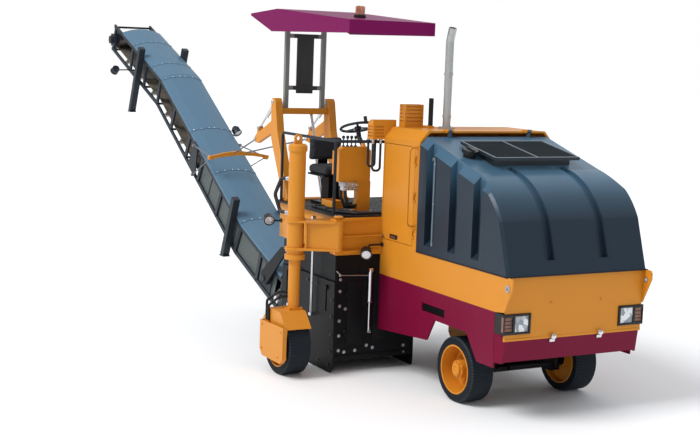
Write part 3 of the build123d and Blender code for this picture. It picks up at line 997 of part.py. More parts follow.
# hanging brackets, stay lugs and support legs: run, share of the run, side
BRACKET_SHARE = 0.52
brackets = []
for side in (-1, 1):
    y0 = CONVEYOR_Y + side * CONVEYOR_HALF
    y1 = y0 + side * 16
    xa, za = along(1, BRACKET_SHARE - 0.062, -REACH)
    xb, zb = along(1, BRACKET_SHARE + 0.03, -REACH)
    xc, zc = along(1, BRACKET_SHARE + 0.02, REACH + 40)
    xd, zd = along(1, BRACKET_SHARE - 0.02, REACH + 40)
    brackets.append(prism_y([(xa, za), (xb, zb), (xc, zc), (xd, zd)], y0, y1))
LEG_TUBE = 88.0
LEGS = [((-8010, 3395), (-8430, 2440)), ((-4377, 1562), (-4700, 790))]
for (xa, za), (xb, zb) in LEGS:
    for side in (-1, 1):
        leg_y = CONVEYOR_Y + side * (CONVEYOR_HALF + LEG_TUBE / 2)
        far = (xb, zb) if side < 0 else (xa + (xb - xa) * 0.72, za + (zb - za) * 0.72)
        frame_pieces.append(bar((xa, leg_y, za), (far[0], leg_y, far[1]), LEG_TUBE, LEG_TUBE))
        frame_pieces.append(block(far[0] - 68, far[0] + 68, leg_y - LEG_TUBE / 2, leg_y + LEG_TUBE / 2 + 20 * (side > 0),
                                  far[1] - 14, far[1] + 4))
# motor and gear case at the head
frame_pieces.append(block(head_x - 95, head_x + 95, CONVEYOR_Y - CONVEYOR_HALF - 40, CONVEYOR_Y - CONVEYOR_HALF + 1,
                          head_z - 95, head_z + 95))
nodes["conveyor_frame"] = joined(frame_pieces + brackets)

COVER_SECTION = shell_section(CONVEYOR_HALF, TRUSS_HALF, TRUSS_HALF + COVER_SHOULDER, TRUSS_HALF + COVER_RISE, SHEET)
COVER_END = 0.86          # share of the last run where the cover ends
cover_trim = prism_y([along(2, COVER_END, 100), along(2, COVER_END - 0.03, 700), along(2, 1.2, 700), along(2, 1.2, 100)],
                     CONVEYOR_Y - 400, CONVEYOR_Y + 400)
nodes["conveyor_cover"] = joined([swept_run(segment, COVER_SECTION, 100, 500, -60) for segment in range(3)]) - cover_trim

BELT_HALF = 250.0
belt_mid = PULLEY_RADIUS + BELT / 2


def belt_outline(height):
    """Solid outline of the belt loop at a height from its middle line, as a prism with round ends."""
    solid = prism_y(band_outline(height, height), CONVEYOR_Y - BELT_HALF, CONVEYOR_Y + BELT_HALF)
    for x, z in PULLEYS:
        solid = solid + rod((x, CONVEYOR_Y - BELT_HALF, z), (x, CONVEYOR_Y + BELT_HALF, z), height)
    return solid


nodes["conveyor_belt"] = belt_outline(PULLEY_RADIUS + BELT) - belt_outline(PULLEY_RADIUS)
drums = []
for x, z in PULLEYS:
    drums.append(rod((x, CONVEYOR_Y - BELT_HALF - 5, z), (x, CONVEYOR_Y + BELT_HALF + 5, z), PULLEY_RADIUS - FIT)
                 + rod((x, CONVEYOR_Y - FRAME_IN, z), (x, CONVEYOR_Y + FRAME_IN, z), 32))
nodes["conveyor_pulleys"] = Compound(children=drums)

# stays from the mast side to the spreader beam and on to the brackets
SPREADER_X = -5100.0
SPREADER_Z = 2020.0
SPREADER_HALF = 28.0
spreader = prism_x([(-1385, 1995), (-1385, 2030), (-1160, 2080), (-960, 2104), (-760, 2084), (-530, 2042), (-530, 2007),
                    (-760, 2036), (-960, 2046), (-1160, 2030)], SPREADER_X - SPREADER_HALF, SPREADER_X + SPREADER_HALF)
for y in (-1350, -566):
    spreader = spreader + block(SPREADER_X - 40, SPREADER_X + 40, y - 22, y + 22, 1990, 2044)
bracket_x, bracket_z = along(1, BRACKET_SHARE, REACH + 20)
low_x, low_z = along(1, 0.47, -REACH + 30)
STAY_END = (-3872.0, 2352.0)
stay_pieces = []
pads = []
for side in (-1, 1):
    y_mast = MACHINE_Y + side * MAST_HALF
    y_low = CONVEYOR_Y + side * (CONVEYOR_HALF + 34)
    y_tip = -1350 if side < 0 else -566
    run = [rod((STAY_END[0], y_mast, STAY_END[1]), (SPREADER_X, CONVEYOR_Y + side * 70, 2072), 10),
           rod((SPREADER_X, y_tip, SPREADER_Z), (bracket_x, y_low, bracket_z), 9),
           rod((SPREADER_X, y_tip, SPREADER_Z - 6), (low_x, y_low, low_z), 7)]
    stay_pieces += run
    for x, z in ((bracket_x, bracket_z), (low_x, low_z)):
        pads.append(rod((x, CONVEYOR_Y + side * (CONVEYOR_HALF + 16), z), (x, y_low + side * 24, z), 22))
stays = []
for side in (0, 1):
    run = stay_pieces[side * 3:side * 3 + 3]
    stays.append(run[0] - spreader)
    stays.append(joined([run[1] - spreader, pads[side * 2]]))
    stays.append(joined([run[2] - spreader, pads[side * 2 + 1]]))
nodes["conveyor_stays"] = Compound([solid for shape in [spreader] + stays for solid in shape.solids()])

# cradle that slews under the rear frame and carries the conveyor's pins
ARM_IN = CONVEYOR_HALF + 25
cradle_pieces = [
    block(SLEW_X - 100, SLEW_X - 20, CONVEYOR_Y - ARM_IN - 20, CONVEYOR_Y + ARM_IN + 20, 1085, 1145),
    rod((SLEW_X, CONVEYOR_Y, 1085), (SLEW_X, CONVEYOR_Y, 1145), 82),
    rod((SLEW_X, CONVEYOR_Y, 1144), (SLEW_X, CONVEYOR_Y, 1262), 40),
]
for side in (-1, 1):
    y0 = CONVEYOR_Y + side * ARM_IN
    cradle_pieces.append(prism_y([(SLEW_X - 20, 1145), (SLEW_X - 110, 1145), (LUFF_X - 70, 760), (LUFF_X - 70, 620),
                                  (LUFF_X + 70, 620), (SLEW_X - 20, 1060)], y0, y0 + side * 20))
cradle = joined(cradle_pieces)
nodes["conveyor_cradle"] = cradle - rod((LUFF_X, CONVEYOR_Y - 500, LUFF_Z), (LUFF_X, CONVEYOR_Y + 500, LUFF_Z),
                                        PIN_RADIUS + RUN)
slew_block = block(DECK_REAR, -2710, CONVEYOR_Y - 120, CONVEYOR_Y + 120, 1160, BOX_TOP + 30)
slew_block = slew_block - block(SLEW_X + 90, -2700, CONVEYOR_Y - 121, CONVEYOR_Y + 121, 1100, BOX_TOP)
slew_block = slew_block - rod((SLEW_X, CONVEYOR_Y, 1150), (SLEW_X, CONVEYOR_Y, 1265), 40 + RUN)
nodes["rear_frame"] = joined([nodes["rear_frame"], slew_block])

# levers on the mast that the stays hang from, with their small cylinders
lever_pieces = []
lever_rods = []
for side in (-1, 1):
    y = MACHINE_Y + side * MAST_HALF
    lever_pieces.append(prism_y([(MAST_TOP_X - 20, 2480), (MAST_TOP_X - 40, 2630), (-3730, 2452), (-3742, 2510),
                                 (-3780, 2512), (-3800, 2430), (-3860, 2385), (-3850, 2325), (-3780, 2312)],
                                y - 24, y + 24))
    lever_rods.append(rod((MAST_TOP_X - 30, y, 2835), (-3762, y, 2500), 13)
                      + rod((MAST_TOP_X - 30, y, 2835), (-3560, y, 2645), 22))
nodes["mast"] = joined([nodes["mast"]] + lever_pieces)
luff_cylinder = joined([rod((-2880, -815, 1700), (-3120, -815, 2290), 36), rod((-2880, -815, 1700), (-3300, -815, 2733), 17)])
keep = block(-4200, -2700, -1400, -400, DECK_TOP, 2900)
cylinder_solids = [(luff_cylinder & keep) - nodes["mast"], gate_cylinder] + list(barrels.solids())
cylinder_solids += [piece - nodes["mast"] for piece in lever_rods]
nodes["lift_cylinders"] = Compound([solid for shape in cylinder_solids for solid in shape.solids()])

# lamps: plate on its carrier, arm and can
def lamp(plate, elbow, centre, aim):
    """Round work lamp whose arm starts at a plate's outer face."""
    c, d = Vector(centre), Vector(aim).normalized()
    can = rod(c - d * 42, c + d * 34, 58) + rod(c - d * 74, c - d * 41, 34)
    return joined([bent_rail([plate, elbow, centre], 12, 10), can])


front_lamp = joined([
    lamp((-1420, -BODY_HALF - 6, 1392), (-1420, -1000, 1392), (-1335, -1085, 1322), (1, -0.55, -0.5)),
    block(-1444, -1396, -BODY_HALF - 8, -BODY_HALF, 1370, 1414)])
rear_lamp = joined([
    lamp((-2950, RIGHT_WEB - 6, 1470), (-2950, RIGHT_WEB - 90, 1470), (-2950, -1490, 1490), (1, -0.3, -0.35)),
    block(-2974, -2926, RIGHT_WEB - 8, RIGHT_WEB, 1446, 1494)])
lamps = []
for side, segment, share, height, centre, aim in (
        (-1, 2, 0.62, -REACH, (-9300, -330, -20), (-1, -0.2, -0.7)), (1, 1, 0.60, REACH, (-6110, 395, 2292), (0.7, 0.2, -0.7))):
    xa, za = along(segment, share, height)
    y0 = CONVEYOR_Y + side * CONVEYOR_HALF
    cx, cy, cz = centre
    c = (cx, CONVEYOR_Y + cy, cz if cz > 0 else za + cz)
    lamps.append(joined([lamp((xa, y0 + side * 4, za), (xa, c[1], za), c, aim),
                         block(xa - 20, xa + 20, y0, y0 + side * 8, za - 18, za + 18)]))
nodes["work_lamps"] = Compound(list(front_lamp.solids()) + list(rear_lamp.solids()))
nodes["conveyor_frame"] = joined([nodes["conveyor_frame"]] + lamps)

# ---------------------------------------------------------------- export
boxes = [shape.bounding_box() for shape in nodes.values()]
ORIGIN_X = (min(b.min.X for b in boxes) + max(b.max.X for b in boxes)) / 2
ORIGIN_Y = (min(b.min.Y for b in boxes) + max(b.max.Y for b in boxes)) / 2
os.makedirs("parts", exist_ok=True)
for name, shape in nodes.items():
    solids = [Pos(-ORIGIN_X, -ORIGIN_Y, 0) * solid for solid in shape.solids()]
    export_step(solids[0] if len(solids) == 1 else Compound(solids), "parts/" + name + ".step")
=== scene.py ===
"""Looks of a wheeled cold planer: finishes, fastenings, trim, lamps, upholstery and a studio stage round its frame."""
import bmesh
import bpy
import math
from mathutils import Matrix, Vector


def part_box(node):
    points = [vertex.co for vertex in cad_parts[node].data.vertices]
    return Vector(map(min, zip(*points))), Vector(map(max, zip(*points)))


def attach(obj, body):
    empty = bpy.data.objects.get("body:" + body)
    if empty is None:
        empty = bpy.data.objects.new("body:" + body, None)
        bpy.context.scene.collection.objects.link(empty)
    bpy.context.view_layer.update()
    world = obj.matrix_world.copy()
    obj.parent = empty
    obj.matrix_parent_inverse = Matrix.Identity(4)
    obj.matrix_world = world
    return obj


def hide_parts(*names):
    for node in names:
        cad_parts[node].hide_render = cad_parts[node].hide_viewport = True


bl_info = {
    "name": "Cold Planer Looks",
    "version": (1, 0, 0),
    "blender": (4, 5, 0),
    "location": "View3D > Sidebar > Planer",
    "description": "Dresses the frame of a wheeled cold planer",
    "category": "Object",
}

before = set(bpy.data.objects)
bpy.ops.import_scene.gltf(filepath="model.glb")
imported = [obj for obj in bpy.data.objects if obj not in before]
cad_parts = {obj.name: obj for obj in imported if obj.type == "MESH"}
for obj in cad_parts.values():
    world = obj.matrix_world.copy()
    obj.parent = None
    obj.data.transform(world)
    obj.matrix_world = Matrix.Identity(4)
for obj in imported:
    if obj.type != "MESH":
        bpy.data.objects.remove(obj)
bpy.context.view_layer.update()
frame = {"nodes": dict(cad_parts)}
NODES = frame["nodes"]


def middle(node):
    """Centre of a frame node's box."""
    low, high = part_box(node)
    return (low + high) / 2


AXLE_X = middle("tyre_front_left").x
BODY_MIDDLE = (middle("tyre_front_left").y + middle("tyre_front_right").y) / 2
ORIGIN = Vector((AXLE_X, BODY_MIDDLE, 0))


def at(x, y, z):
    """A point given from the front axle, the body's middle plane and the ground."""
    return ORIGIN + Vector((x, y, z))


# ---- node trees and shader maths
def plug(tree, socket, value):
    """Link a signal or a socket into a socket, or set the socket's own value."""
    if isinstance(value, Signal):
        value = value.socket
    if isinstance(value, bpy.types.NodeSocket):
        tree.links.new(value, socket)
    elif socket.type == "RGBA" and len(value) == 3:
        socket.default_value = (*value, 1)
    else:
        socket.default_value = value


def add_node(tree, kind, inputs=(), **settings):
    """Add a node: settings first, then values or links of its sockets."""
    made = tree.nodes.new(kind)
    for key, value in settings.items():
        if key == "stops":
            set_stops(made.color_ramp, value)
        else:
            setattr(made, key, value)
    for key, value in dict(inputs).items():
        plug(tree, made.inputs[key], value)
    return made


def set_stops(ramp, stops):
    """Give a grey ramp its (position, value) stops."""
    while len(ramp.elements) > 1:
        ramp.elements.remove(ramp.elements[-1])
    for index, (where, tone) in enumerate(stops):
        stop = ramp.elements[0] if index == 0 else ramp.elements.new(where)
        stop.position = where
        stop.color = (tone, tone, tone, 1)


def maths(operation, reflected=False):
    """A method that adds one Math node to the signal's finish."""
    def method(self, other=0.0):
        a, b = (other, self) if reflected else (self, other)
        return self.finish.node("Math", {0: a, 1: b}, operation=operation)
    return method


class Signal:
    """A shader socket that takes part in Python expressions."""

    def __init__(self, finish, socket):
        self.finish = finish
        self.socket = socket

    __add__, __radd__ = maths("ADD"), maths("ADD", True)
    __sub__, __rsub__ = maths("SUBTRACT"), maths("SUBTRACT", True)
    __mul__, __rmul__ = maths("MULTIPLY"), maths("MULTIPLY", True)
    __pow__ = maths("POWER")
    __gt__ = maths("GREATER_THAN")
    __lt__ = maths("LESS_THAN")
    size = maths("ABSOLUTE")
    turn = maths("ARCTAN2")
    wave = maths("SINE")
    either = maths("MAXIMUM")


class Finish:
    """A procedural material and the few kinds of node it is built from."""

    def __init__(self, name):
        self.name = name
        self.material = bpy.data.materials.new(name)
        self.material.use_nodes = True
        self.tree = self.material.node_tree
        self.shader = self.tree.nodes["Principled BSDF"]
        self.place = self.node("TexCoord", {}, "Object")

    def node(self, kind, inputs, output=0, **settings):
        """Add a shader node and wrap one of its outputs."""
        return Signal(self, add_node(self.tree, "ShaderNode" + kind, inputs, **settings).outputs[output])

    def set(self, **values):
        """Set sockets of the surface shader by name, with _ for a space, and keep the finish under its name."""
        for key, value in values.items():
            plug(self.tree, self.shader.inputs[key.replace("_", " ")], value)
        finishes[self.name] = self.material

    def noise(self, scale, detail=3.0, rough=0.55, where=None):
        """Fractal noise between 0 and 1 at a scale in cells per metre."""
        return self.node("TexNoise", {
            "Vector": where or self.place, "Scale": scale, "Detail": detail, "Roughness": rough})

    def ramp(self, signal, *stops):
        """Grey ramp through (position, value) stops."""
        return self.node("ValToRGB", {"Fac": signal}, stops=stops)

    def mix(self, share, a, b):
        """Blend two colours."""
        return self.node("Mix", {0: share, 6: a, 7: b}, 2, data_type="RGBA")

    def stretched(self, x, y, z):
        """Object coordinates scaled along each axis."""
        return self.node("Mapping", {"Vector": self.place, "Scale": Vector((x, y, z))})

    def axis(self, name):
        """One component of the Object coordinates."""
        return self.node("SeparateXYZ", {"Vector": self.place}, name)

    def from_origin(self):
        """Object coordinates counted from the axle, the middle plane and the ground."""
        return self.axis("X") - ORIGIN.x, self.axis("Y") - ORIGIN.y, self.axis("Z")

    def bump(self, height, strength, distance, **under):
        """Normal from a height signal, on top of another normal if one is given."""
        return self.node("Bump", {"Height": height, "Strength": strength, "Distance": distance, **under})


DUST = (0.3, 0.25, 0.19)
TREAD_CUTS = 132
# lozenges of the expanded metal per metre, along and up
MESH_PITCH = (34.0, 64.0)
finishes = {}


def tinted(colour, factor):
    """A colour made darker or lighter."""
    return tuple(min(1.0, c * factor) for c in colour)


def machine_paint(name, colour, rough=0.38, dust=0.2, scuff=0.4, coat=0.0, gloss=0.5, second=None, mask=None):
    """Enamel paint with slight mottling, road dust low down, fine scratches and a few stone chips."""
    f = Finish(name)
    base = f.mix(f.noise(1.7, 3), tinted(colour, 0.95), tinted(colour, 1.04))
    if second is not None:
        base = f.mix(mask(f), base, second)
    low = f.node("MapRange", {
        "Value": f.axis("Z"), "From Min": 0.1, "From Max": 1.5, "To Min": 1.0, "To Max": 0.12})
    grime = f.ramp(f.noise(9.0, 6, 0.68), (0.48, 0.0), (0.8, 1.0)) * low * dust
    dusted = f.mix(grime, base, DUST)
    chips = f.ramp(f.noise(64.0, 2, 0.5), (0.745, 0.0), (0.762, 1.0)) * low * scuff
    chipped = f.mix(chips, dusted, (0.07, 0.06, 0.055))
    streak = f.ramp(f.noise(11.0, 3, 0.5, where=f.stretched(3.2, 3.2, 0.25)), (0.55, 0.0), (0.8, 1.0)) * (0.14 * scuff)
    final = f.mix(streak, chipped, tinted(colour, 0.62))
    sheen = f.noise(26.0, 3) * 0.12 + (rough - 0.06) + grime * 0.4
    peel = f.bump(f.noise(240.0, 1), 0.04, 0.002)
    normal = f.bump(f.noise(3.1, 2), 0.1, 0.004, Normal=peel)
    f.set(Base_Color=final, Roughness=sheen, Coat_Weight=coat, Coat_Roughness=0.15, Normal=normal,
          Specular_IOR_Level=gloss)


def bare_metal(name, colour, rough=0.3, metal=1.0, stain=0.3):
    """Bare or plated steel with drawn grain and brown staining."""
    f = Finish(name)
    patch = f.ramp(f.noise(14.0, 5), (0.5, 0.0), (0.78, 1.0)) * stain
    base = f.mix(patch, colour, (0.16, 0.1, 0.06))
    drawn = f.noise(60.0, 2, where=f.stretched(1, 1, 0.12))
    f.set(Base_Color=base, Metallic=metal, Roughness=drawn * 0.2 + (rough - 0.1) + patch * 0.4,
          Normal=f.bump(drawn, 0.12, 0.001))


def rubber(name, colour, rough=0.72, dust=0.4, gloss=0.4):
    """Moulded rubber with a fine grain and dust in its low places."""
    f = Finish(name)
    wear = f.noise(6.0, 5)
    base = f.mix(f.ramp(wear, (0.35, 0.0), (0.8, 1.0)) * dust, colour, DUST)
    f.set(Base_Color=base, Roughness=wear * 0.18 + (rough - 0.05), Normal=f.bump(f.noise(170.0, 2), 0.2, 0.002),
          Specular_IOR_Level=gloss)


def tyre_tread(name, colour, wheel):
    """Solid tyre rubber: fine cross cuts round the tread with painted shade in them, rings on the side walls, dust and
    scuffs.
    """
    f = Finish(name)
    hub = middle(wheel)
    x, y, z = f.axis("X") - hub.x, (f.axis("Y") - hub.y).size(), f.axis("Z") - hub.z
    spread = (x * x + z * z) ** 0.5
    cuts = (z.turn(x) * TREAD_CUTS).wave() * (spread > 0.318)
    rings = (spread * 430.0).wave() * (spread < 0.312) * (y > 0.1)
    band = (spread * 96.0).wave() * (spread < 0.312)
    wear = f.noise(9.0, 5)
    base = f.mix(f.ramp(wear, (0.4, 0.0), (0.85, 1.0)) * 0.08, colour, (0.12, 0.12, 0.12))
    # painted shade: the tread's cross cuts are darkened in colour as shade in the grooves; inside the tread the side
    # walls take the same darker tone
    dark = f.mix(f.ramp(cuts, (0.0, 0.75), (0.55, 0.0)), base, tinted(colour, 0.35))
    relief = cuts * 0.6 + rings * 0.12 + band * 0.25 + f.noise(150.0, 2) * 0.18
    f.set(Base_Color=dark, Roughness=wear * 0.15 + 0.6, Normal=f.bump(relief, 0.55, 0.004),
          Specular_IOR_Level=0.2)


def moulded(name, colour, rough=0.42, lift=0.08, speck=0.1, coat=0.0, gloss=0.4, second=None, mask=None):
    """Moulded plastic with a slight texture and rubbed patches."""
    f = Finish(name)
    rub = f.ramp(f.noise(4.2, 5), (0.42, 0.0), (0.8, 1.0))
    base = f.mix(rub * speck, colour, tinted(colour, 2.0))
    # a second colour under a mask; on the hood this is painted sheen on the top
    if second is not None:
        base = f.mix(mask(f), base, second)
    f.set(Base_Color=base, Roughness=rub * 0.12 + rough, Normal=f.bump(f.noise(420.0, 1), lift, 0.001),
          Coat_Weight=coat, Coat_Roughness=0.12, Specular_IOR_Level=gloss)


def lens_glass(name, colour, painted_dark, ribs=70.0):
    """Moulded lamp lens with painted reflections of a bright bowl: bands and patches of painted light and dark, with
    fine optic ribs.
    """
    f = Finish(name)
    facets = f.node("TexVoronoi", {"Vector": f.stretched(1, 1, 0.7), "Scale": 26.0}, "Color")
    # painted reflection: voronoi patches blend the lens colour with its painted_dark colour
    base = f.mix(f.ramp(facets, (0.3, 0.0), (0.62, 1.0)), painted_dark, colour)
    wave = (f.from_origin()[1] * (ribs * 6.3)).wave()
    f.set(Base_Color=base, Roughness=f.noise(60.0, 2) * 0.08 + 0.1, Coat_Weight=0.7, Normal=f.bump(wave, 0.4, 0.002))


def cloth(name, colour):
    """Woven seat cloth with a slight fade."""
    f = Finish(name)
    fade = f.noise(5.0, 4)
    threads = f.node("TexChecker", {"Vector": f.place, "Scale": 700.0}, "Fac")
    base = f.mix(fade, tinted(colour, 0.8), tinted(colour, 1.5))
    base = f.mix(threads * 0.3, base, tinted(colour, 2.2))
    f.set(Base_Color=base, Roughness=fade * 0.1 + 0.82, Normal=f.bump(threads, 0.2, 0.001))


def expanded_mesh(name, colour, painted_dark):
    """Painted expanded-metal sheet: staggered lozenge holes filled with painted shade, as dark as the hollow behind
    them.
    """
    f = Finish(name)
    x, _, z = f.from_origin()
    across, down = x * (MESH_PITCH[0] * 6.283), z * (MESH_PITCH[1] * 6.283)
    lattice = (across + down).wave() * (across - down).wave()
    holes = f.ramp(lattice, (0.12, 0.0), (0.42, 1.0))
    stain = f.noise(6.0, 5)
    # painted shade: the holes take the painted_dark colour in place of the shaded hollow behind the sheet
    base = f.mix(holes * 0.62, f.mix(stain, tinted(colour, 0.7), tinted(colour, 1.2)), painted_dark)
    f.set(Base_Color=base, Roughness=stain * 0.2 + 0.5, Normal=f.bump(lattice, 0.5, 0.003))


# ---- sizes and colours a user would change
def colour(label, description, *default):
    """A colour setting."""
    return bpy.props.FloatVectorProperty(name=label, description=description, subtype="COLOR", default=default,
                                         min=0, max=1)


def distance(label, description, default, least, most):
    """A length setting."""
    return bpy.props.FloatProperty(name=label, description=description, subtype="DISTANCE", unit="LENGTH",
                                   default=default, min=least, max=most)


class PlanerColours(bpy.types.PropertyGroup):
    """Colours of the machine's paints and coverings."""
    body: colour("Body", "Paint of the upper body", 0.655, 0.25, 0.021)
    skirt: colour("Skirt", "Paint of the lower plates", 0.173, 0.0033, 0.0316)
    canopy: colour("Canopy", "Paint of the canopy", 0.186, 0.0035, 0.085)
    hood: colour("Hood", "Colour of the moulded hood", 0.017, 0.03, 0.046)
    conveyor: colour("Conveyor cover", "Paint of the conveyor cover", 0.089, 0.175, 0.258)
    frame: colour("Frame", "Black paint of frames and boxes", 0.006, 0.0064, 0.0075)
    truss: colour("Truss", "Dark paint of the conveyor's truss", 0.02, 0.027, 0.036)


class PlanerSizes(bpy.types.PropertyGroup):
    """Sizes of fastenings and of the stage."""
    bolt_radius: distance("Bolt radius", "Half the width across a bolt head's corners", 0.013, 0.002, 0.05)
    nut_radius: distance("Wheel nut radius", "Half the width across a wheel nut", 0.016, 0.004, 0.05)
    wire_width: distance("Screen wire", "Width of a wire of the air screen", 0.0035, 0.001, 0.01)
    floor_half: distance("Floor", "Half the width of the studio floor", 90.0, 5, 200)
    lens: bpy.props.FloatProperty(name="Lens", description="Focal length of the camera", unit="CAMERA",
                                  default=66.857, min=10, max=300)


def sizes():
    """The size settings."""
    return bpy.context.scene.planer_sizes


# ---- stage
# name, energy, softness in degrees, direction the light travels
LAMPS = (("key", 2.1, 26.0, (0.05, 0.85, -0.95)), ("fill", 0.3, 60.0, (0.5, -0.9, -0.4)),
         ("front", 0.04, 50.0, (-1.0, 0.0, -0.3)))
PALE = (0.93, 0.93, 0.93)
CAMERA_PLACE = (10.667, -7.831, 3.453)
# heading off the machine's length, dip and roll, in degrees
CAMERA_ANGLES = (28.566, 7.331, 2.026)


class PLANER_OT_stage(bpy.types.Operator):
    """Pale floor, soft lamps and the camera"""
    bl_idname = "planer.stage"
    bl_label = "Stage"

    def execute(self, context):
        half = sizes().floor_half
        mesh = bpy.data.meshes.new("studio_floor")
        mesh.from_pydata([(-half, -half, 0), (half, -half, 0), (half, half, 0), (-half, half, 0)], [], [(0, 1, 2, 3)])
        floor = bpy.data.objects.new("studio_floor", mesh)
        context.scene.collection.objects.link(floor)
        f = Finish("studio_floor")
        f.set(Base_Color=PALE, Roughness=0.9)
        mesh.materials.append(f.material)
        self.world(context)
        for name, energy, softness, direction in LAMPS:
            lamp = bpy.data.lights.new(name, "SUN")
            lamp.energy = energy
            lamp.angle = math.radians(softness)
            holder = bpy.data.objects.new(name, lamp)
            holder.rotation_euler = Vector(direction).to_track_quat("-Z", "Y").to_euler()
            context.scene.collection.objects.link(holder)
        self.camera(context)
        context.scene.view_settings.view_transform = "Standard"
        return {"FINISHED"}

    def world(self, context):
        """Soft sky, brighter overhead, that is plain white to the camera and through glass."""
        world = bpy.data.worlds.new("studio")
        context.scene.world = world
        world.use_nodes = True
        tree = world.node_tree
        tree.nodes.clear()

        def node(kind, inputs=(), **settings):
            return add_node(tree, "ShaderNode" + kind, inputs, **settings).outputs

        path = node("LightPath")
        height = node("SeparateXYZ", {0: node("TexCoord")["Generated"]})["Z"]
        rise = node("MapRange", {"Value": height, "From Min": -0.05, "From Max": 0.75, "To Min": 0.3, "To Max": 0.85})
        dim = node("Background", {"Color": (0.93, 0.96, 1.0), "Strength": rise[0]})
        white = node("Background", {"Color": (1, 1, 1), "Strength": 1.0})
        seen = node("Math", {0: path["Is Camera Ray"], 1: path["Is Transmission Ray"]}, operation="MAXIMUM")
        node("OutputWorld", {0: node("MixShader", {0: seen[0], 1: dim[0], 2: white[0]})[0]})

    def camera(self, context):
        """Camera off the front right corner, a little lower than the canopy, with a slight roll."""
        heading, dip, roll = (math.radians(angle) for angle in CAMERA_ANGLES)
        forward = Vector((-math.cos(heading) * math.cos(dip), math.sin(heading) * math.cos(dip), -math.sin(dip)))
        level = forward.cross(Vector((0, 0, 1))).normalized()
        upright = level.cross(forward)
        right = level * math.cos(roll) + upright * math.sin(roll)
        up = upright * math.cos(roll) - level * math.sin(roll)
        data = bpy.data.cameras.new("camera")
        data.lens = sizes().lens
        data.sensor_width = 36.0
        data.clip_end = 400
        camera = bpy.data.objects.new("camera", data)
        turn = Matrix((right, up, -forward)).transposed().to_4x4()
        camera.matrix_world = Matrix.Translation(at(*CAMERA_PLACE)) @ turn
        context.scene.collection.objects.link(camera)
        context.scene.camera = camera


# ---- finishes of the frame
WHEELS = ("front_left", "front_right", "rear_left", "rear_right")


def stay_mask(f):
    """1 on the cables, 0 on the spreader beam."""
    return (f.from_origin()[0] + 5.1).size() > 0.046


def leg_mask(side):
    """1 on the two hoses of the wheel leg on one side."""
    def mask(f):
        x, y, z = f.from_origin()
        x, y = x - LEG_X, y - COLUMN_Y[side]
        return ((z > 0.569) * (y < -0.2255)).either((z > 0.7195) * (x * x + y * y > 0.0041))
    return mask


def console_mask(f):
    """1 on the steering column and the stub pipe beside the vent box."""
    x, _, z = f.from_origin()
    return ((x < -1.8) * (z > 2.4)).either((x > -1.296) * (z > 2.697))


def post_mask(f):
    """1 on the rolled guard between the canopy's posts."""
    _, y, z = f.from_origin()
    return (y > MACHINE_Y - 0.16) * (y < MACHINE_Y + 0.16) * (z > 2.55)


def hood_sheen_mask(f):
    """Rises from 0 on the hood's front to 1 on its top, where a lighter blue is painted as the sky's sheen on the hood.
    """
    _, y, z = f.from_origin()
    top = f.ramp((z - 1.4) * 0.8, (0.42, 0.0), (0.56, 0.3), (0.72, 1.0))
    return top * (y > -0.838) * (y < 0.838) * (0.94 - f.noise(3.0, 3) * 0.3)


def platform_mask(f):
    """Patches on the top of the deck, where boots rub the paint."""
    return f.ramp(f.noise(5.0, 4), (0.5, 0.0), (0.62, 0.5)) * (f.from_origin()[2] > 1.7)


HOSE_BLACK, OILED_STEEL, RUBBED_BLACK = (0.008, 0.009, 0.01), (0.16, 0.16, 0.17), (0.05, 0.05, 0.052)
# HOOD_TOP_SHEEN is painted sheen: the light blue of the sky's reflection laid into the colour of the hood's top
TYRE_BLACK, HOOD_TOP_SHEEN = (0.013, 0.021, 0.031), (0.066, 0.146, 0.222)
ENAMEL = dict(rough=0.36, dust=0.05, scuff=0.25, coat=0.05, gloss=0.22)
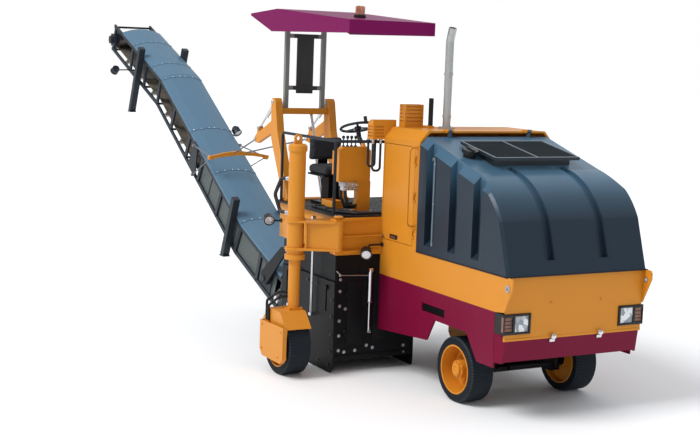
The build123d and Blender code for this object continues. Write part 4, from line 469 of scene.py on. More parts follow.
# finish: maker, slot that a piece in it stands for, frame nodes that wear it, colour, settings
# (a colour that a user may change is given by the name of its setting)
FINISHES = {
    "body_paint": (machine_paint, "orange_paint", "side_bands front_plate rear_housing side_door rear_frame mast "
                   "column_left column_right swing_arm rim_front_left rim_front_right rim_rear_left rim_rear_right",
                   "body", ENAMEL),
    "orange_bolt": (machine_paint, "orange_paint", "", "body", ENAMEL),
    "leg_left_paint": (machine_paint, "", "wheel_leg_left", "body",
                       dict(ENAMEL, second=HOSE_BLACK, mask=leg_mask("left"))),
    "leg_right_paint": (machine_paint, "", "wheel_leg_right", "body",
                        dict(ENAMEL, second=HOSE_BLACK, mask=leg_mask("right"))),
    "console_paint": (machine_paint, "", "console", "body", dict(ENAMEL, second=HOSE_BLACK, mask=console_mask)),
    "stay_paint": (machine_paint, "", "conveyor_stays", "body", dict(ENAMEL, second=OILED_STEEL, mask=stay_mask)),
    "skirt_paint": (machine_paint, "", "skirts bumper", "skirt", dict(dust=0.03, scuff=0.3, gloss=0.12)),
    "canopy_paint": (machine_paint, "purple_paint", "canopy", "canopy",
                     dict(rough=0.36, dust=0.0, scuff=0.15, gloss=0.12)),
    "cover_paint": (machine_paint, "conveyor_blue", "conveyor_cover", "conveyor",
                    dict(rough=0.46, dust=0.08, scuff=0.3, gloss=0.22)),
    "frame_paint": (machine_paint, "black_paint", "chassis ballast drum_box side_plate_left side_plate_right scraper "
                    "front_axle knuckle_left knuckle_right conveyor_cradle seat_base", "frame",
                    dict(rough=0.4, dust=0.02, scuff=0.15, gloss=0.12)),
    "truss_paint": (machine_paint, "black_paint", "conveyor_frame handrail", "truss",
                    dict(rough=0.45, dust=0.08, scuff=0.3, gloss=0.22)),
    "post_steel": (machine_paint, "", "canopy_posts", (0.2, 0.205, 0.19),
                   dict(rough=0.34, dust=0.0, scuff=0.5, gloss=0.6, second="frame", mask=post_mask)),
    "deck_paint": (machine_paint, "black_paint", "platform", "frame",
                   dict(rough=0.55, dust=0.3, scuff=0.5, gloss=0.3, second=RUBBED_BLACK, mask=platform_mask)),
    # the hood's second colour is painted sheen on its top, under the sheen mask
    "hood_plastic": (moulded, "hood_black", "hood", "hood", dict(rough=0.3, lift=0.03, speck=0.06, coat=0.06, gloss=0.2,
                                                                 second=HOOD_TOP_SHEEN, mask=hood_sheen_mask)),
    "grip_plastic": (moulded, "black_plastic", "steering_wheel", (0.01, 0.013, 0.02), {}),
    "lamp_shell": (moulded, "black_plastic", "filler_cap headlamp_housings work_lamps", (0.008, 0.009, 0.011),
                   dict(rough=0.36)),
    "screen": (moulded, "hood_black", "grille", (0.016, 0.026, 0.034), dict(rough=0.5)),
    "screen_trim": (moulded, "hood_black", "", (0.16, 0.2, 0.23), dict(rough=0.4)),
    "gauge_face": (moulded, "black_plastic", "", (0.02, 0.02, 0.022), dict(rough=0.25, coat=0.6)),
    # the infill's painted_dark colour is painted shade in the holes of the sheet
    "infill_sheet": (expanded_mesh, "", "conveyor_infill", (0.105, 0.128, 0.122), dict(painted_dark=(0.02, 0.026, 0.028))),
    "tyre_rubber": (rubber, "rubber_tyre", "", TYRE_BLACK, dict(rough=0.65, dust=0.1)),
    "belt_rubber": (rubber, "belt_rubber", "conveyor_belt", (0.06, 0.052, 0.044), dict(dust=0.65)),
    "hose_rubber": (rubber, "", "column_hose hydraulic_hoses", (0.007, 0.008, 0.01),
                    dict(rough=0.42, dust=0.03, gloss=0.5)),
    "seal_rubber": (rubber, "belt_rubber", "", (0.008, 0.008, 0.009), dict(rough=0.6, dust=0.05)),
    "pulley_steel": (bare_metal, "bare_steel", "conveyor_pulleys", (0.42, 0.41, 0.4), {}),
    "stack_steel": (bare_metal, "grey_steel", "exhaust", (0.47, 0.48, 0.47), dict(rough=0.4, metal=0.75, stain=0.18)),
    "bolt_steel": (bare_metal, "bare_steel", "", (0.52, 0.53, 0.55), dict(rough=0.34, stain=0.1)),
    "black_bolt": (bare_metal, "black_paint", "", (0.08, 0.08, 0.085), dict(rough=0.4, metal=0.6, stain=0.1)),
    "chrome_rod": (bare_metal, "bare_steel", "lift_cylinders side_plate_rods", (0.66, 0.67, 0.69),
                   dict(rough=0.16, stain=0.03)),
    "cast_iron": (bare_metal, "", "engine_block", (0.06, 0.056, 0.052), dict(rough=0.6, metal=0.4)),
    "pick_steel": (bare_metal, "", "milling_drum", (0.16, 0.14, 0.12), dict(rough=0.5, metal=0.7, stain=0.5)),
    "seat_cloth": (cloth, "", "seat_cushions", (0.014, 0.016, 0.02), {}),
    # the lens colours and their painted_dark patches are painted reflections of the lamps' bowls
    "clear_lens": (lens_glass, "clear_lens", "headlamp_lenses", (0.88, 0.9, 0.92), dict(painted_dark=(0.3, 0.33, 0.36))),
    "amber_lens": (lens_glass, "", "indicators", (0.22, 0.05, 0.006), dict(painted_dark=(0.06, 0.014, 0.003), ribs=55.0)),
    "beacon_lens": (lens_glass, "", "beacon", (0.62, 0.22, 0.1), dict(painted_dark=(0.35, 0.09, 0.03))),
    **{"tyre_%s_rubber" % wheel: (tyre_tread, "", "tyre_" + wheel, TYRE_BLACK, {"wheel": "tyre_" + wheel})
       for wheel in WHEELS},
}


class PLANER_OT_finishes(bpy.types.Operator):
    """Paint, rubber, steel and plastic on every piece of the frame"""
    bl_idname = "planer.finishes"
    bl_label = "Finishes"

    def execute(self, context):
        group = context.scene.planer_colours
        chosen = {key: tuple(getattr(group, key)) for key in PlanerColours.__annotations__}
        for name, (maker, _, nodes, tone, settings) in FINISHES.items():
            maker(name, chosen.get(tone, tone), **{key: chosen.get(value, value) for key, value in settings.items()})
            for node in nodes.split():
                for place in NODES[node].material_slots:
                    place.material = finishes[name]
        return {"FINISHED"}


# ---- making pieces
def piece(name, mesh, finish, body):
    """Give a mesh its finish if it has none, and hang it on a body of the frame."""
    if not mesh.materials:
        mesh.materials.append(finishes[finish])
    made = bpy.data.objects.new(name, mesh)
    bpy.context.scene.collection.objects.link(made)
    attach(made, body)
    return made


def baked(made):
    """The evaluated mesh of an object, as new mesh data."""
    return bpy.data.meshes.new_from_object(made.evaluated_get(bpy.context.evaluated_depsgraph_get()))


# degrees between faces below which an edge is shaded smooth
SMOOTH_BELOW = 35.0


def spokes(d, count, side=None, phase=0.0):
    """Directions all round an axis, square to it."""
    side = side or d.orthogonal().normalized()
    other = d.cross(side)
    return [side * math.cos(t) + other * math.sin(t) for t in (phase + 2 * math.pi * i / count for i in range(count))]


class Work:
    """A mesh in the making. Places are counted from the front axle, the middle plane and the ground, in metres."""

    def __init__(self):
        self.bm = bmesh.new()

    def bevel(self, edges, width, segments=2, profile=0.6):
        """Round some edges."""
        bmesh.ops.bevel(self.bm, geom=list(edges), offset=width, segments=segments, profile=profile, affect="EDGES")

    def box(self, x0, x1, y0, y1, z0, z1, bevel=0.003):
        """Block between six planes with rounded edges."""
        made = bmesh.ops.create_cube(self.bm, size=1.0)["verts"]
        size = Matrix.Diagonal((abs(x1 - x0), abs(y1 - y0), abs(z1 - z0), 1))
        place = Matrix.Translation(at((x0 + x1) / 2, (y0 + y1) / 2, (z0 + z1) / 2))
        bmesh.ops.transform(self.bm, matrix=place @ size, verts=made)
        if bevel:
            self.bevel({e for v in made for e in v.link_edges}, bevel)
        return self

    def skin(self, rings, closed=True):
        """Faces between rings of like count, or single points, given one after another, and over both ends."""
        rows = [[self.bm.verts.new(point) for point in ring] for ring in rings]
        for lower, upper in zip(rows, rows[1:]):
            count = max(len(lower), len(upper))
            for i in range(count):
                j = (i + 1) % count
                corners = (lower[i % len(lower)], lower[j % len(lower)], upper[j % len(upper)], upper[i % len(upper)])
                distinct = list(dict.fromkeys(corners))
                if len(distinct) > 2:
                    self.bm.faces.new(distinct)
        if closed:
            self.bm.faces.new(rows[0][::-1])
            self.bm.faces.new(rows[-1])
        return self

    def turned(self, start, direction, profile, steps=24):
        """Lathe a profile of (radius, distance) pairs about an axis; ends with radius 0 are closed."""
        centre, d = at(*start), Vector(direction).normalized()
        return self.skin([[centre + d * along_axis + out * radius for out in (spokes(d, steps) if radius else [d])]
                          for radius, along_axis in profile], closed=False)

    def ring(self, start, direction, profile, steps=24):
        """Lathe a closed profile about an axis."""
        return self.turned(start, direction, list(profile) + [profile[0]], steps)

    def strip(self, path, radius, steps=8):
        """Round bead or bar along points, with flat ends."""
        points = [at(*p) for p in path]
        rings = []
        for index, point in enumerate(points):
            d = (points[min(index + 1, len(points) - 1)] - points[max(index - 1, 0)]).normalized()
            side = d.cross(Vector((0.31, 0.87, 0.39))).normalized()
            rings.append([point + out * radius for out in spokes(d, steps, side)])
        return self.skin(rings)

    def ribbon(self, sections):
        """Skin between like outlines given one after another, with both ends closed."""
        return self.skin([[at(*p) for p in section] for section in sections])

    def hang(self, name, finish, body="machine"):
        """Turn the faces outwards, smooth the gentle edges and hang the mesh on a body."""
        bmesh.ops.remove_doubles(self.bm, verts=self.bm.verts, dist=0.00002)
        bmesh.ops.recalc_face_normals(self.bm, faces=self.bm.faces)
        for face in self.bm.faces:
            face.smooth = True
        limit = math.radians(SMOOTH_BELOW)
        for edge in self.bm.edges:
            edge.smooth = len(edge.link_faces) == 2 and edge.calc_face_angle(math.pi) < limit
        mesh = bpy.data.meshes.new(name)
        self.bm.to_mesh(mesh)
        self.bm.free()
        return piece(name, mesh, finish, body)


# ---- repeated small shapes
class Pattern:
    """A geometry node tree that sets copies of one small shape on points, each with an aim and a sideways direction."""

    def __init__(self, name, **lengths):
        self.tree = bpy.data.node_groups.new(name, "GeometryNodeTree")
        face = self.tree.interface
        face.new_socket("Places", in_out="INPUT", socket_type="NodeSocketGeometry")
        for label, default in lengths.items():
            socket = face.new_socket(label, in_out="INPUT", socket_type="NodeSocketFloat")
            socket.default_value = default
            socket.subtype = "DISTANCE"
        face.new_socket("Finish", in_out="INPUT", socket_type="NodeSocketMaterial")
        face.new_socket("Copies", in_out="OUTPUT", socket_type="NodeSocketGeometry")
        self.given = self.tree.nodes.new("NodeGroupInput").outputs

    def node(self, kind, inputs, output=0, **settings):
        """Add a node and give one of its outputs."""
        return add_node(self.tree, kind, inputs, **settings).outputs[output]

    def maths(self, operation, a, b):
        """One sum on two numbers or sockets."""
        return self.node("ShaderNodeMath", {0: a, 1: b}, operation=operation)

    def times(self, value, share):
        """A share of a value."""
        return self.maths("MULTIPLY", value, share)

    def lifted(self, geometry, lift):
        """Geometry moved along its own Z."""
        offset = self.node("ShaderNodeCombineXYZ", {"Z": lift})
        return self.node("GeometryNodeTransform", {"Geometry": geometry, "Translation": offset})

    def rod(self, radius, depth, corners):
        """Closed prism or cylinder about Z."""
        return self.node("GeometryNodeMeshCylinder", {"Vertices": corners, "Radius": radius, "Depth": depth})

    def joined(self, *shapes):
        """Several shapes as one."""
        join = add_node(self.tree, "GeometryNodeJoinGeometry")
        for shape in shapes:
            self.tree.links.new(shape, join.inputs[0])
        return join.outputs[0]

    def close(self, shape, turned_by=0.0):
        """Set the shape on the points, turn it, make it real and give it its finish."""
        aim, sideways = (self.node("GeometryNodeInputNamedAttribute", {"Name": name}, data_type="FLOAT_VECTOR")
                         for name in ("aim", "along"))
        turn = self.node("FunctionNodeAxesToRotation", {0: aim, 1: sideways}, primary_axis="Z", secondary_axis="X")
        if turned_by:
            chance = self.node("FunctionNodeRandomValue", {2: 0.0, 3: turned_by, 8: 7}, 1, data_type="FLOAT")
            spin = self.node("FunctionNodeAxisAngleToRotation", {"Axis": (0.0, 0.0, 1.0), "Angle": chance})
            turn = self.node("FunctionNodeRotateRotation", {0: turn, 1: spin}, rotation_space="LOCAL")
        copies = self.node("GeometryNodeInstanceOnPoints", {
            "Points": self.given["Places"], "Instance": shape, "Rotation": turn})
        real = self.node("GeometryNodeRealizeInstances", {0: copies})
        flat = self.node("GeometryNodeSetShadeSmooth", {"Geometry": real, "Shade Smooth": False})
        dressed = self.node("GeometryNodeSetMaterial", {"Geometry": flat, "Material": self.given["Finish"]})
        add_node(self.tree, "NodeGroupOutput", {"Copies": dressed})
        return self.tree


# layers of a bolt, as shares of its radius and height, corners, and the share of its height they are lifted by
BOLT_LAYERS = ((1.0, 1.0, 6, 0.78), (0.78, 0.2, 12, 1.36), (1.42, 0.3, 14, 0.15))


def bolt_pattern():
    """Hexagon head with a low dome on a round washer."""
    p = Pattern("bolts", Radius=0.013, Height=0.01)
    radius, height = p.given["Radius"], p.given["Height"]
    layers = [p.lifted(p.rod(p.times(radius, wide), p.times(height, tall), corners), p.times(height, lift))
              for wide, tall, corners, lift in BOLT_LAYERS]
    return p.close(p.joined(*layers), turned_by=1.05)


def rivet_pattern():
    """Low rivet head with a flat top."""
    p = Pattern("rivets", Radius=0.008, Height=0.004)
    radius = p.given["Radius"]
    return p.close(p.node("GeometryNodeMeshCone", {"Vertices": 12, "Radius Top": p.times(radius, 0.55),
                                                       "Radius Bottom": radius, "Depth": p.given["Height"]}))


def bar_pattern():
    """Rectangular bar standing on its point: length sideways, height along the aim."""
    p = Pattern("bars", Length=0.05, Width=0.01, Height=0.01)
    size = p.node("ShaderNodeCombineXYZ", {"X": p.given["Length"], "Y": p.given["Width"], "Z": p.given["Height"]})
    return p.close(p.lifted(p.node("GeometryNodeMeshCube", {"Size": size}), p.times(p.given["Height"], 0.5)))


def roller_pattern():
    """Roller with necks, its axis sideways."""
    p = Pattern("rollers", Radius=0.04, Length=0.5, Neck=0.012)
    length = p.given["Length"]
    upright = p.joined(p.rod(p.given["Radius"], length, 20), p.rod(p.given["Neck"], p.maths("ADD", length, 0.05), 10))
    return p.close(p.node("GeometryNodeTransform", {"Geometry": upright, "Rotation": (0.0, math.pi / 2, 0.0)}))


PATTERNS = {"bolt": bolt_pattern, "rivet": rivet_pattern, "bar": bar_pattern, "roller": roller_pattern}
pattern_trees = {}


def repeated(name, shape, places, finish, body, **given):
    """Copies of a small shape at (point, aim, sideways) places, as one plain mesh on one body."""
    if shape not in pattern_trees:
        pattern_trees[shape] = PATTERNS[shape]()
    tree = pattern_trees[shape]
    spots = bpy.data.meshes.new(name + "_places")
    spots.from_pydata([at(*place[0]) for place in places], [], [])
    for label, index in (("aim", 1), ("along", 2)):
        data = spots.attributes.new(label, "FLOAT_VECTOR", "POINT").data
        for item, place in zip(data, places):
            item.vector = place[index]
    holder = bpy.data.objects.new(name + "_places", spots)
    bpy.context.scene.collection.objects.link(holder)
    modifier = holder.modifiers.new("repeat", "NODES")
    modifier.node_group = tree
    given["finish"] = finishes[finish]
    for socket in tree.interface.items_tree:
        if socket.in_out == "INPUT" and socket.name.lower() in given:
            modifier[socket.identifier] = given[socket.name.lower()]
    mesh = baked(holder)
    mesh.name = name
    holder.modifiers.remove(modifier)
    bpy.data.objects.remove(holder)
    if not mesh.polygons:
        raise RuntimeError("nothing was repeated for " + name)
    return piece(name, mesh, finish, body)


def bolts(name, places, finish, body, radius, height):
    """Bolts of one size on one body."""
    repeated(name, "bolt", places, finish, body, radius=radius, height=height)


def bars(name, places, finish, body, length, width, height):
    """Bars of one size on one body."""
    repeated(name, "bar", places, finish, body, length=length, width=width, height=height)


RIGHT, LEFT, FORWARD, BACK, UP, DOWN = ((0, -1, 0), (0, 1, 0), (1, 0, 0), (-1, 0, 0), (0, 0, 1), (0, 0, -1))


def on(aim, points):
    """The same aim for several points, with some sideways direction."""
    sideways = FORWARD if abs(aim[0]) < 0.5 else LEFT
    return [(point, aim, sideways) for point in points]


def circle(middle_point, aim, radius, count, phase=0.0):
    """Points on a circle about an axis, as places aimed along it."""
    d = Vector(aim).normalized()
    centre = Vector(middle_point)
    return [(tuple(centre + out * radius), tuple(d), tuple(out)) for out in spokes(d, count, None, phase)]


# ---- shapes of the frame that the pieces follow
HOOD_ANGLE = math.radians(16.4)
HOOD_BROW, HOOD_FOOT = (0.19, 2.345), (0.888, 1.56)
CHANNELS, HOOD_RIM = (-0.32, 0.32), 0.8455
SCREEN_FALL = 0.18132
SCREEN_BOX = (-0.47, 0.176, 0.514)
# count and spacing of the air screen's wires, and of those across them
WIRES, WIRE_PITCH, CROSS_WIRES, CROSS_PITCH = 49, 0.02, 30, 0.0205
CAP_FOOT, CAP_RIBS, CAP_RIB_CIRCLE = (-0.172, -0.6), 28, 0.0785
CONVEYOR_LINE = [(-3.1, 0.545), (-4.4, 1.03), (-7.4, 2.775), (-9.4, 3.51)]
CONVEYOR_Y, CONVEYOR_HALF, CHORD_REACH = -0.95, 0.3, 0.186
# middle plane of the mast and the canopy
MACHINE_Y = -0.915
LEG_X = -1.65
COLUMN_Y = {"right": -1.78, "left": 0.646}
BOX_FACE = -1.4625
STACK_X, STACK_Y = -1.1, -0.29
SWING_PIN = (-1.4, -1.4)
FRONT_FACE = 0.8895
DECK_TOP = 1.7118
CANOPY_HALF, CANOPY_EDGE = 0.5165, 3.652


def hood_top(x):
    """Height of the hood's sloping top."""
    return HOOD_BROW[1] + (HOOD_BROW[0] - x) * math.tan(HOOD_ANGLE)


def hood_line(steps=22):
    """Points down the middle of the hood's front, from behind the air screen to the foot, as (x, z)."""
    brow, mid, knee = Vector(HOOD_BROW), Vector((0.56, 2.172)), Vector((0.765, 1.924))
    a, b = mid - brow, knee - brow
    cross = 2 * (a.x * b.y - a.y * b.x)
    centre = brow + Vector((b.y * a.length_squared - a.y * b.length_squared,
                            a.x * b.length_squared - b.x * a.length_squared)) / cross
    radius = (brow - centre).length
    first, last = (math.atan2((p - centre).y, (p - centre).x) for p in (brow, knee))
    angles = [first + (last - first) * i / steps for i in range(steps + 1)]
    arc = [(centre.x + radius * math.cos(t), centre.y + radius * math.sin(t)) for t in angles]
    return [(0.105, hood_top(0.105))] + arc + [HOOD_FOOT]


def screen_z(x):
    """Height of the air screen's face."""
    return 2.58625 - (x + 0.47) * SCREEN_FALL


def run(segment):
    """Start of one straight run of the conveyor, its reach along and up, and its length."""
    (x0, z0), (x1, z1) = CONVEYOR_LINE[segment], CONVEYOR_LINE[segment + 1]
    return x0, z0, x1 - x0, z1 - z0, math.hypot(x1 - x0, z1 - z0)


def along(segment, share, height):
    """Point on one straight run of the conveyor at a height above its middle line, as (x, z)."""
    x, z, reach, rise, length = run(segment)
    return x + reach * share + rise / length * height, z + rise * share - reach / length * height


def away(segment, sense=1):
    """Direction square to one straight run of the conveyor: 1 for upwards, -1 for downwards."""
    _, _, reach, rise, length = run(segment)
    return sense * rise / length, 0, -sense * reach / length


# ---- hood
class PLANER_OT_hood(bpy.types.Operator):
    """Air screen, channel lips, seal of the hood and a light rod that paints the highlight on a side rib"""
    bl_idname = "planer.hood"
    bl_label = "Hood trim"

    def execute(self, context):
        lips = Work()
        for y in CHANNELS:
            for edge in (-0.05, 0.05):
                lips.strip([(x, y + edge, z) for x, z in hood_line()], 0.0045, 6)
            lips.box(0.078, 0.0965, y - 0.06, y + 0.06, 2.315, 2.368)
            lips.box(0.868, 0.884, y - 0.055, y + 0.055, 1.538, 1.56, bevel=0.005)
        lips.hang("hood_channel_lips", "hood_plastic", "hood")
        # painted highlight: a light grey rod with three clips laid along the side rib's edge, where the rib's highlight
        # runs
        highlight_rod = Work().strip([(x, -0.846, z) for x, z in ((-0.452, 2.392), (-0.44, 2.415), (-0.424, 2.415),
                                                          (-0.414, 2.392), (-0.414, 1.52))], 0.0085, 10)
        for z in (1.54, 1.95, 2.36):
            highlight_rod.box(-0.428, -0.4, -0.85, -0.839, z - 0.012, z + 0.012)
        highlight_rod.hang("hood_side_rail", "screen_trim", "hood")
        seal = Work()
        for side in (-1, 1):
            seal.ribbon([[(x, side * y, z) for y, z in ((0.836, 1.415), (HOOD_RIM, 1.415), (HOOD_RIM, 1.4255),
                                                        (0.836, 1.427))] for x in (-0.716, 0.918)])
        seal.ribbon([[(x, y, z) for x, z in ((0.912, 1.415), (0.929, 1.415), (0.929, 1.4255), (0.912, 1.427))]
                     for y in (-HOOD_RIM, HOOD_RIM)])
        self.screen()
        self.cap()
        seal.hang("hood_seal", "seal_rubber")
        return {"FINISHED"}

    def screen(self):
        """Trim and wires of the air screen."""
        trim = Work()
        rear, front, half = SCREEN_BOX
        long_bars = [(rear, front, y0, y1, 0.004)
                     for y0, y1 in ((-half, 0.014 - half), (half - 0.014, half), (-0.007, 0.007))]
        for x0, x1, y0, y1, lift in long_bars + [(rear, rear + 0.014, -half, half, 0.005),
                                                 (front - 0.012, front, -half, half, 0.005)]:
            trim.ribbon([[(x, y, screen_z(x) + z) for y, z in ((y0, -0.001), (y1, -0.001), (y1, lift), (y0, lift))]
                         for x in (x0, x1)])
        trim.hang("air_screen_trim", "screen_trim", "hood")
        width, up = sizes().wire_width, (SCREEN_FALL, 0.0, 1.0)
        centre = (rear + front) / 2
        wires = [((centre, -0.48 + index * WIRE_PITCH, screen_z(centre) - 0.006), up, (1.0, 0.0, -SCREEN_FALL))
                 for index in range(WIRES)]
        cross = [((x, 0.0, screen_z(x) - 0.0035), up, LEFT)
                 for x in (-0.44 + index * CROSS_PITCH for index in range(CROSS_WIRES))]
        for name, places, length in (("air_screen_wires", wires, 0.612), ("air_screen_cross_wires", cross, 0.99)):
            bars(name, places, "screen", "hood", length, width, width)

    def cap(self):
        """Grip ribs round the filler cap."""
        tilt = Vector((math.sin(HOOD_ANGLE), 0, math.cos(HOOD_ANGLE)))
        foot = Vector((*CAP_FOOT, hood_top(CAP_FOOT[0])))
        ribs = [((p[0] + tilt.x * 0.062, p[1], p[2] + tilt.z * 0.062), out, tuple(tilt))
                for p, _, out in circle(foot, tilt, CAP_RIB_CIRCLE, CAP_RIBS)]
        bars("filler_cap_ribs", ribs, "lamp_shell", "hood", 0.034, 0.007, 0.005)


# ---- lamps
# point on the can's axis, aim, body
WORK_LAMPS = [((-1.335, -1.085, 1.322), (1.0, -0.55, -0.5), "machine"),
              ((-2.95, -1.49, 1.49), (1.0, -0.3, -0.35), "machine"),
              ((-6.11, -0.555, 2.292), (0.7, 0.2, -0.7), "conveyor"),
              ((-9.3, -1.28, along(2, 0.62, -CHORD_REACH)[1] - 0.02), (-1.0, -0.2, -0.7), "conveyor")]
# inner side, outer side, bottom and top of the bars round a headlamp and its indicator
BEZEL_BARS = ((0.5355, 0.727, 0.869, 0.891), (0.5355, 0.727, 1.043, 1.0655), (0.531, 0.556, 0.869, 1.0655),
              (0.712, 0.74, 0.869, 1.0655), (0.738, 0.838, 0.869, 0.9), (0.738, 0.838, 1.034, 1.0655),
              (0.83, 0.839, 0.869, 1.0655))
OPTIC_RIBS, RIB_PITCH = 12, 0.0124
LAMP_LENS = [(0, 0.03), (0.052, 0.03), (0.051, 0.038), (0.034, 0.044), (0, 0.047)]
LAMP_RIM = [(0.05, 0.026), (0.06, 0.022), (0.0635, 0.03), (0.0635, 0.044), (0.057, 0.05), (0.052, 0.043)]
BEACON_FOOT = [(0, 0.002), (0.066, 0.002), (0.068, 0.012), (0.064, 0.036), (0.054, 0.042), (0, 0.042)]


class PLANER_OT_lamps(bpy.types.Operator):
    """Bezels, optic ribs and lenses of the lamps"""
    bl_idname = "planer.lamps"
    bl_label = "Lamps"

    def execute(self, context):
        bezels = Work()
        ribs = []
        for side in (-1, 1):
            for y0, y1, low, high in BEZEL_BARS:
                bezels.box(0.885, 0.907, side * y0, side * y1, low, high, bevel=0.006)
            for z in (0.93, 0.966, 1.002):
                bezels.box(0.89, 0.8985, side * 0.74, side * 0.832, z - 0.003, z + 0.003, bevel=0.001)
            ribs += [((0.8938, side * (0.566 + RIB_PITCH * i), 0.967), FORWARD, UP) for i in range(OPTIC_RIBS)]
        bezels.hang("headlamp_bezels", "lamp_shell")
        bars("headlamp_optic_ribs", ribs, "clear_lens", "machine", 0.146, 0.0045, 0.002)
        for index, (centre, aim, body) in enumerate(WORK_LAMPS):
            Work().turned(centre, aim, LAMP_LENS).hang("work_lamp_lens_%d" % index, "clear_lens", body)
            Work().ring(centre, aim, LAMP_RIM, 28).hang("work_lamp_rim_%d" % index, "lamp_shell", body)
        foot = (middle("beacon").x - AXLE_X, MACHINE_Y - 0.15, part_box("beacon")[0].z)
        Work().turned(foot, (0.072, 0, 1), BEACON_FOOT, 28).hang("beacon_base", "lamp_shell")
        return {"FINISHED"}


# ---- wheels
TREAD_BLOCKS, BLOCK_CIRCLE, BLOCK_OUT = 64, 0.3175, 0.1185
NUTS, NUT_CIRCLE, NUT_FACE = 10, 0.138, -0.0445
HUB_BOLTS, HUB_CIRCLE, HUB_FACE = 8, 0.0788, 0.0895
RIM_HALF = 0.121
RIM_LIP = ((0.233, -0.004), (0.2495, -0.004), (0.2495, 0.008), (0.242, 0.012), (0.233, 0.008))
RIM_STEP = [(0.17, -0.046), (0.216, -0.046), (0.212, -0.034), (0.176, -0.032)]
HUB_RING = [(0.03, 0.1115), (0.058, 0.1115), (0.055, 0.1165), (0.034, 0.1175)]


class PLANER_OT_wheels(bpy.types.Operator):
    """Wheel nuts, rim lips and the shoulder blocks of the tyres"""
    bl_idname = "planer.wheels"
    bl_label = "Wheels"

    def execute(self, context):
        for name in WHEELS:
            body, out = "wheel_" + name, 1 if name.endswith("left") else -1
            hub = middle("tyre_" + name) - ORIGIN
            aim = (0, out, 0)
            nuts = circle((hub.x, hub.y + out * NUT_FACE, hub.z), aim, NUT_CIRCLE, NUTS)
            bolts("wheel_nuts_" + name, nuts, "orange_bolt", body, sizes().nut_radius, 0.016)
            bolts("hub_bolts_" + name, circle((hub.x, hub.y + out * HUB_FACE, hub.z), aim, HUB_CIRCLE, HUB_BOLTS, 0.3),
                  "orange_bolt", body, 0.008, 0.007)
            trim = Work()
            for sign in (-1, 1):
                trim.ring(hub, aim, [(radius, sign * (RIM_HALF + reach)) for radius, reach in RIM_LIP], 48)
            trim.ring(hub, aim, RIM_STEP, 48)
            trim.ring(hub, aim, HUB_RING, 32)
            trim.hang("rim_trim_" + name, "orange_bolt", body)
            blocks = []
            for t in (2 * math.pi * index / TREAD_BLOCKS for index in range(TREAD_BLOCKS)):
                x, z = math.cos(t), math.sin(t)
                blocks += [((hub.x + BLOCK_CIRCLE * x, hub.y + side * BLOCK_OUT, hub.z + BLOCK_CIRCLE * z),
                            tuple(Vector((x, side, z)).normalized()), (-z, 0, x)) for side in (-1, 1)]
            bars("tyre_shoulder_" + name, blocks, "tyre_rubber", body, 0.017, 0.021, 0.0055)
        return {"FINISHED"}


# ---- bolts, studs, pins
# how far across bolts of the drum box sit, and their heights
DRUM_BOX_BOLTS = ((-1.317, (1.02, 0.893, 0.731, 0.568, 0.405, 0.243)), (-1.247, (0.696, 0.437, 0.222)),
                  (-1.113, (0.231,)), (-0.97, (0.276,)), (-0.894, (0.245,)), (-0.5, (0.242, 0.17)),
                  (-0.64, (1.16, 1.02)), (-0.76, (1.16,)))
SIDE_PLATE_BOLTS = ((-1.47, 0.24), (-1.47, 0.42), (-1.47, 0.62), (-1.47, 0.8), (-1.52, 0.09), (-1.75, 0.09),
                    (-2.05, 0.09), (-2.35, 0.09), (-2.6, 0.09), (-2.05, 0.93), (-2.3, 0.93), (-1.82, 0.93))
STUD = [(0.012, 0), (0.012, 0.022), (0.027, 0.024), (0.03, 0.03), (0.026, 0.04), (0.012, 0.045), (0, 0.046)]
EYE_BUSH = [(0.019, 0.0), (0.0295, 0.0), (0.0295, 0.026), (0.0345, 0.027), (0.0345, 0.031), (0.019, 0.031)]
LEVER_PIN = [(0, 0), (0.022, 0), (0.026, 0.004), (0.026, 0.009), (0.019, 0.011), (0.019, 0.061), (0.026, 0.063),
             (0.026, 0.068), (0.022, 0.072), (0, 0.072)]
MAST_PIN = [(0, 0), (0.024, 0), (0.028, 0.005), (0.028, 0.099), (0.024, 0.104), (0, 0.104)]
PIN_CAP = [(0, 0), (0.046, 0), (0.05, 0.004), (0.05, 0.014), (0.044, 0.02), (0, 0.02)]
BEARING = [(0, 0), (0.075, 0), (0.078, 0.004), (0.078, 0.016), (0.05, 0.02), (0.046, 0.04), (0.03, 0.044),
           (0, 0.044)]
# run of the conveyor and the share along it of each upright of the truss
UPRIGHTS = ((0, 0.5), (1, 0.0), (1, 0.22), (1, 0.44), (1, 0.6), (1, 0.8), (2, 0.0), (2, 0.3), (2, 0.61))


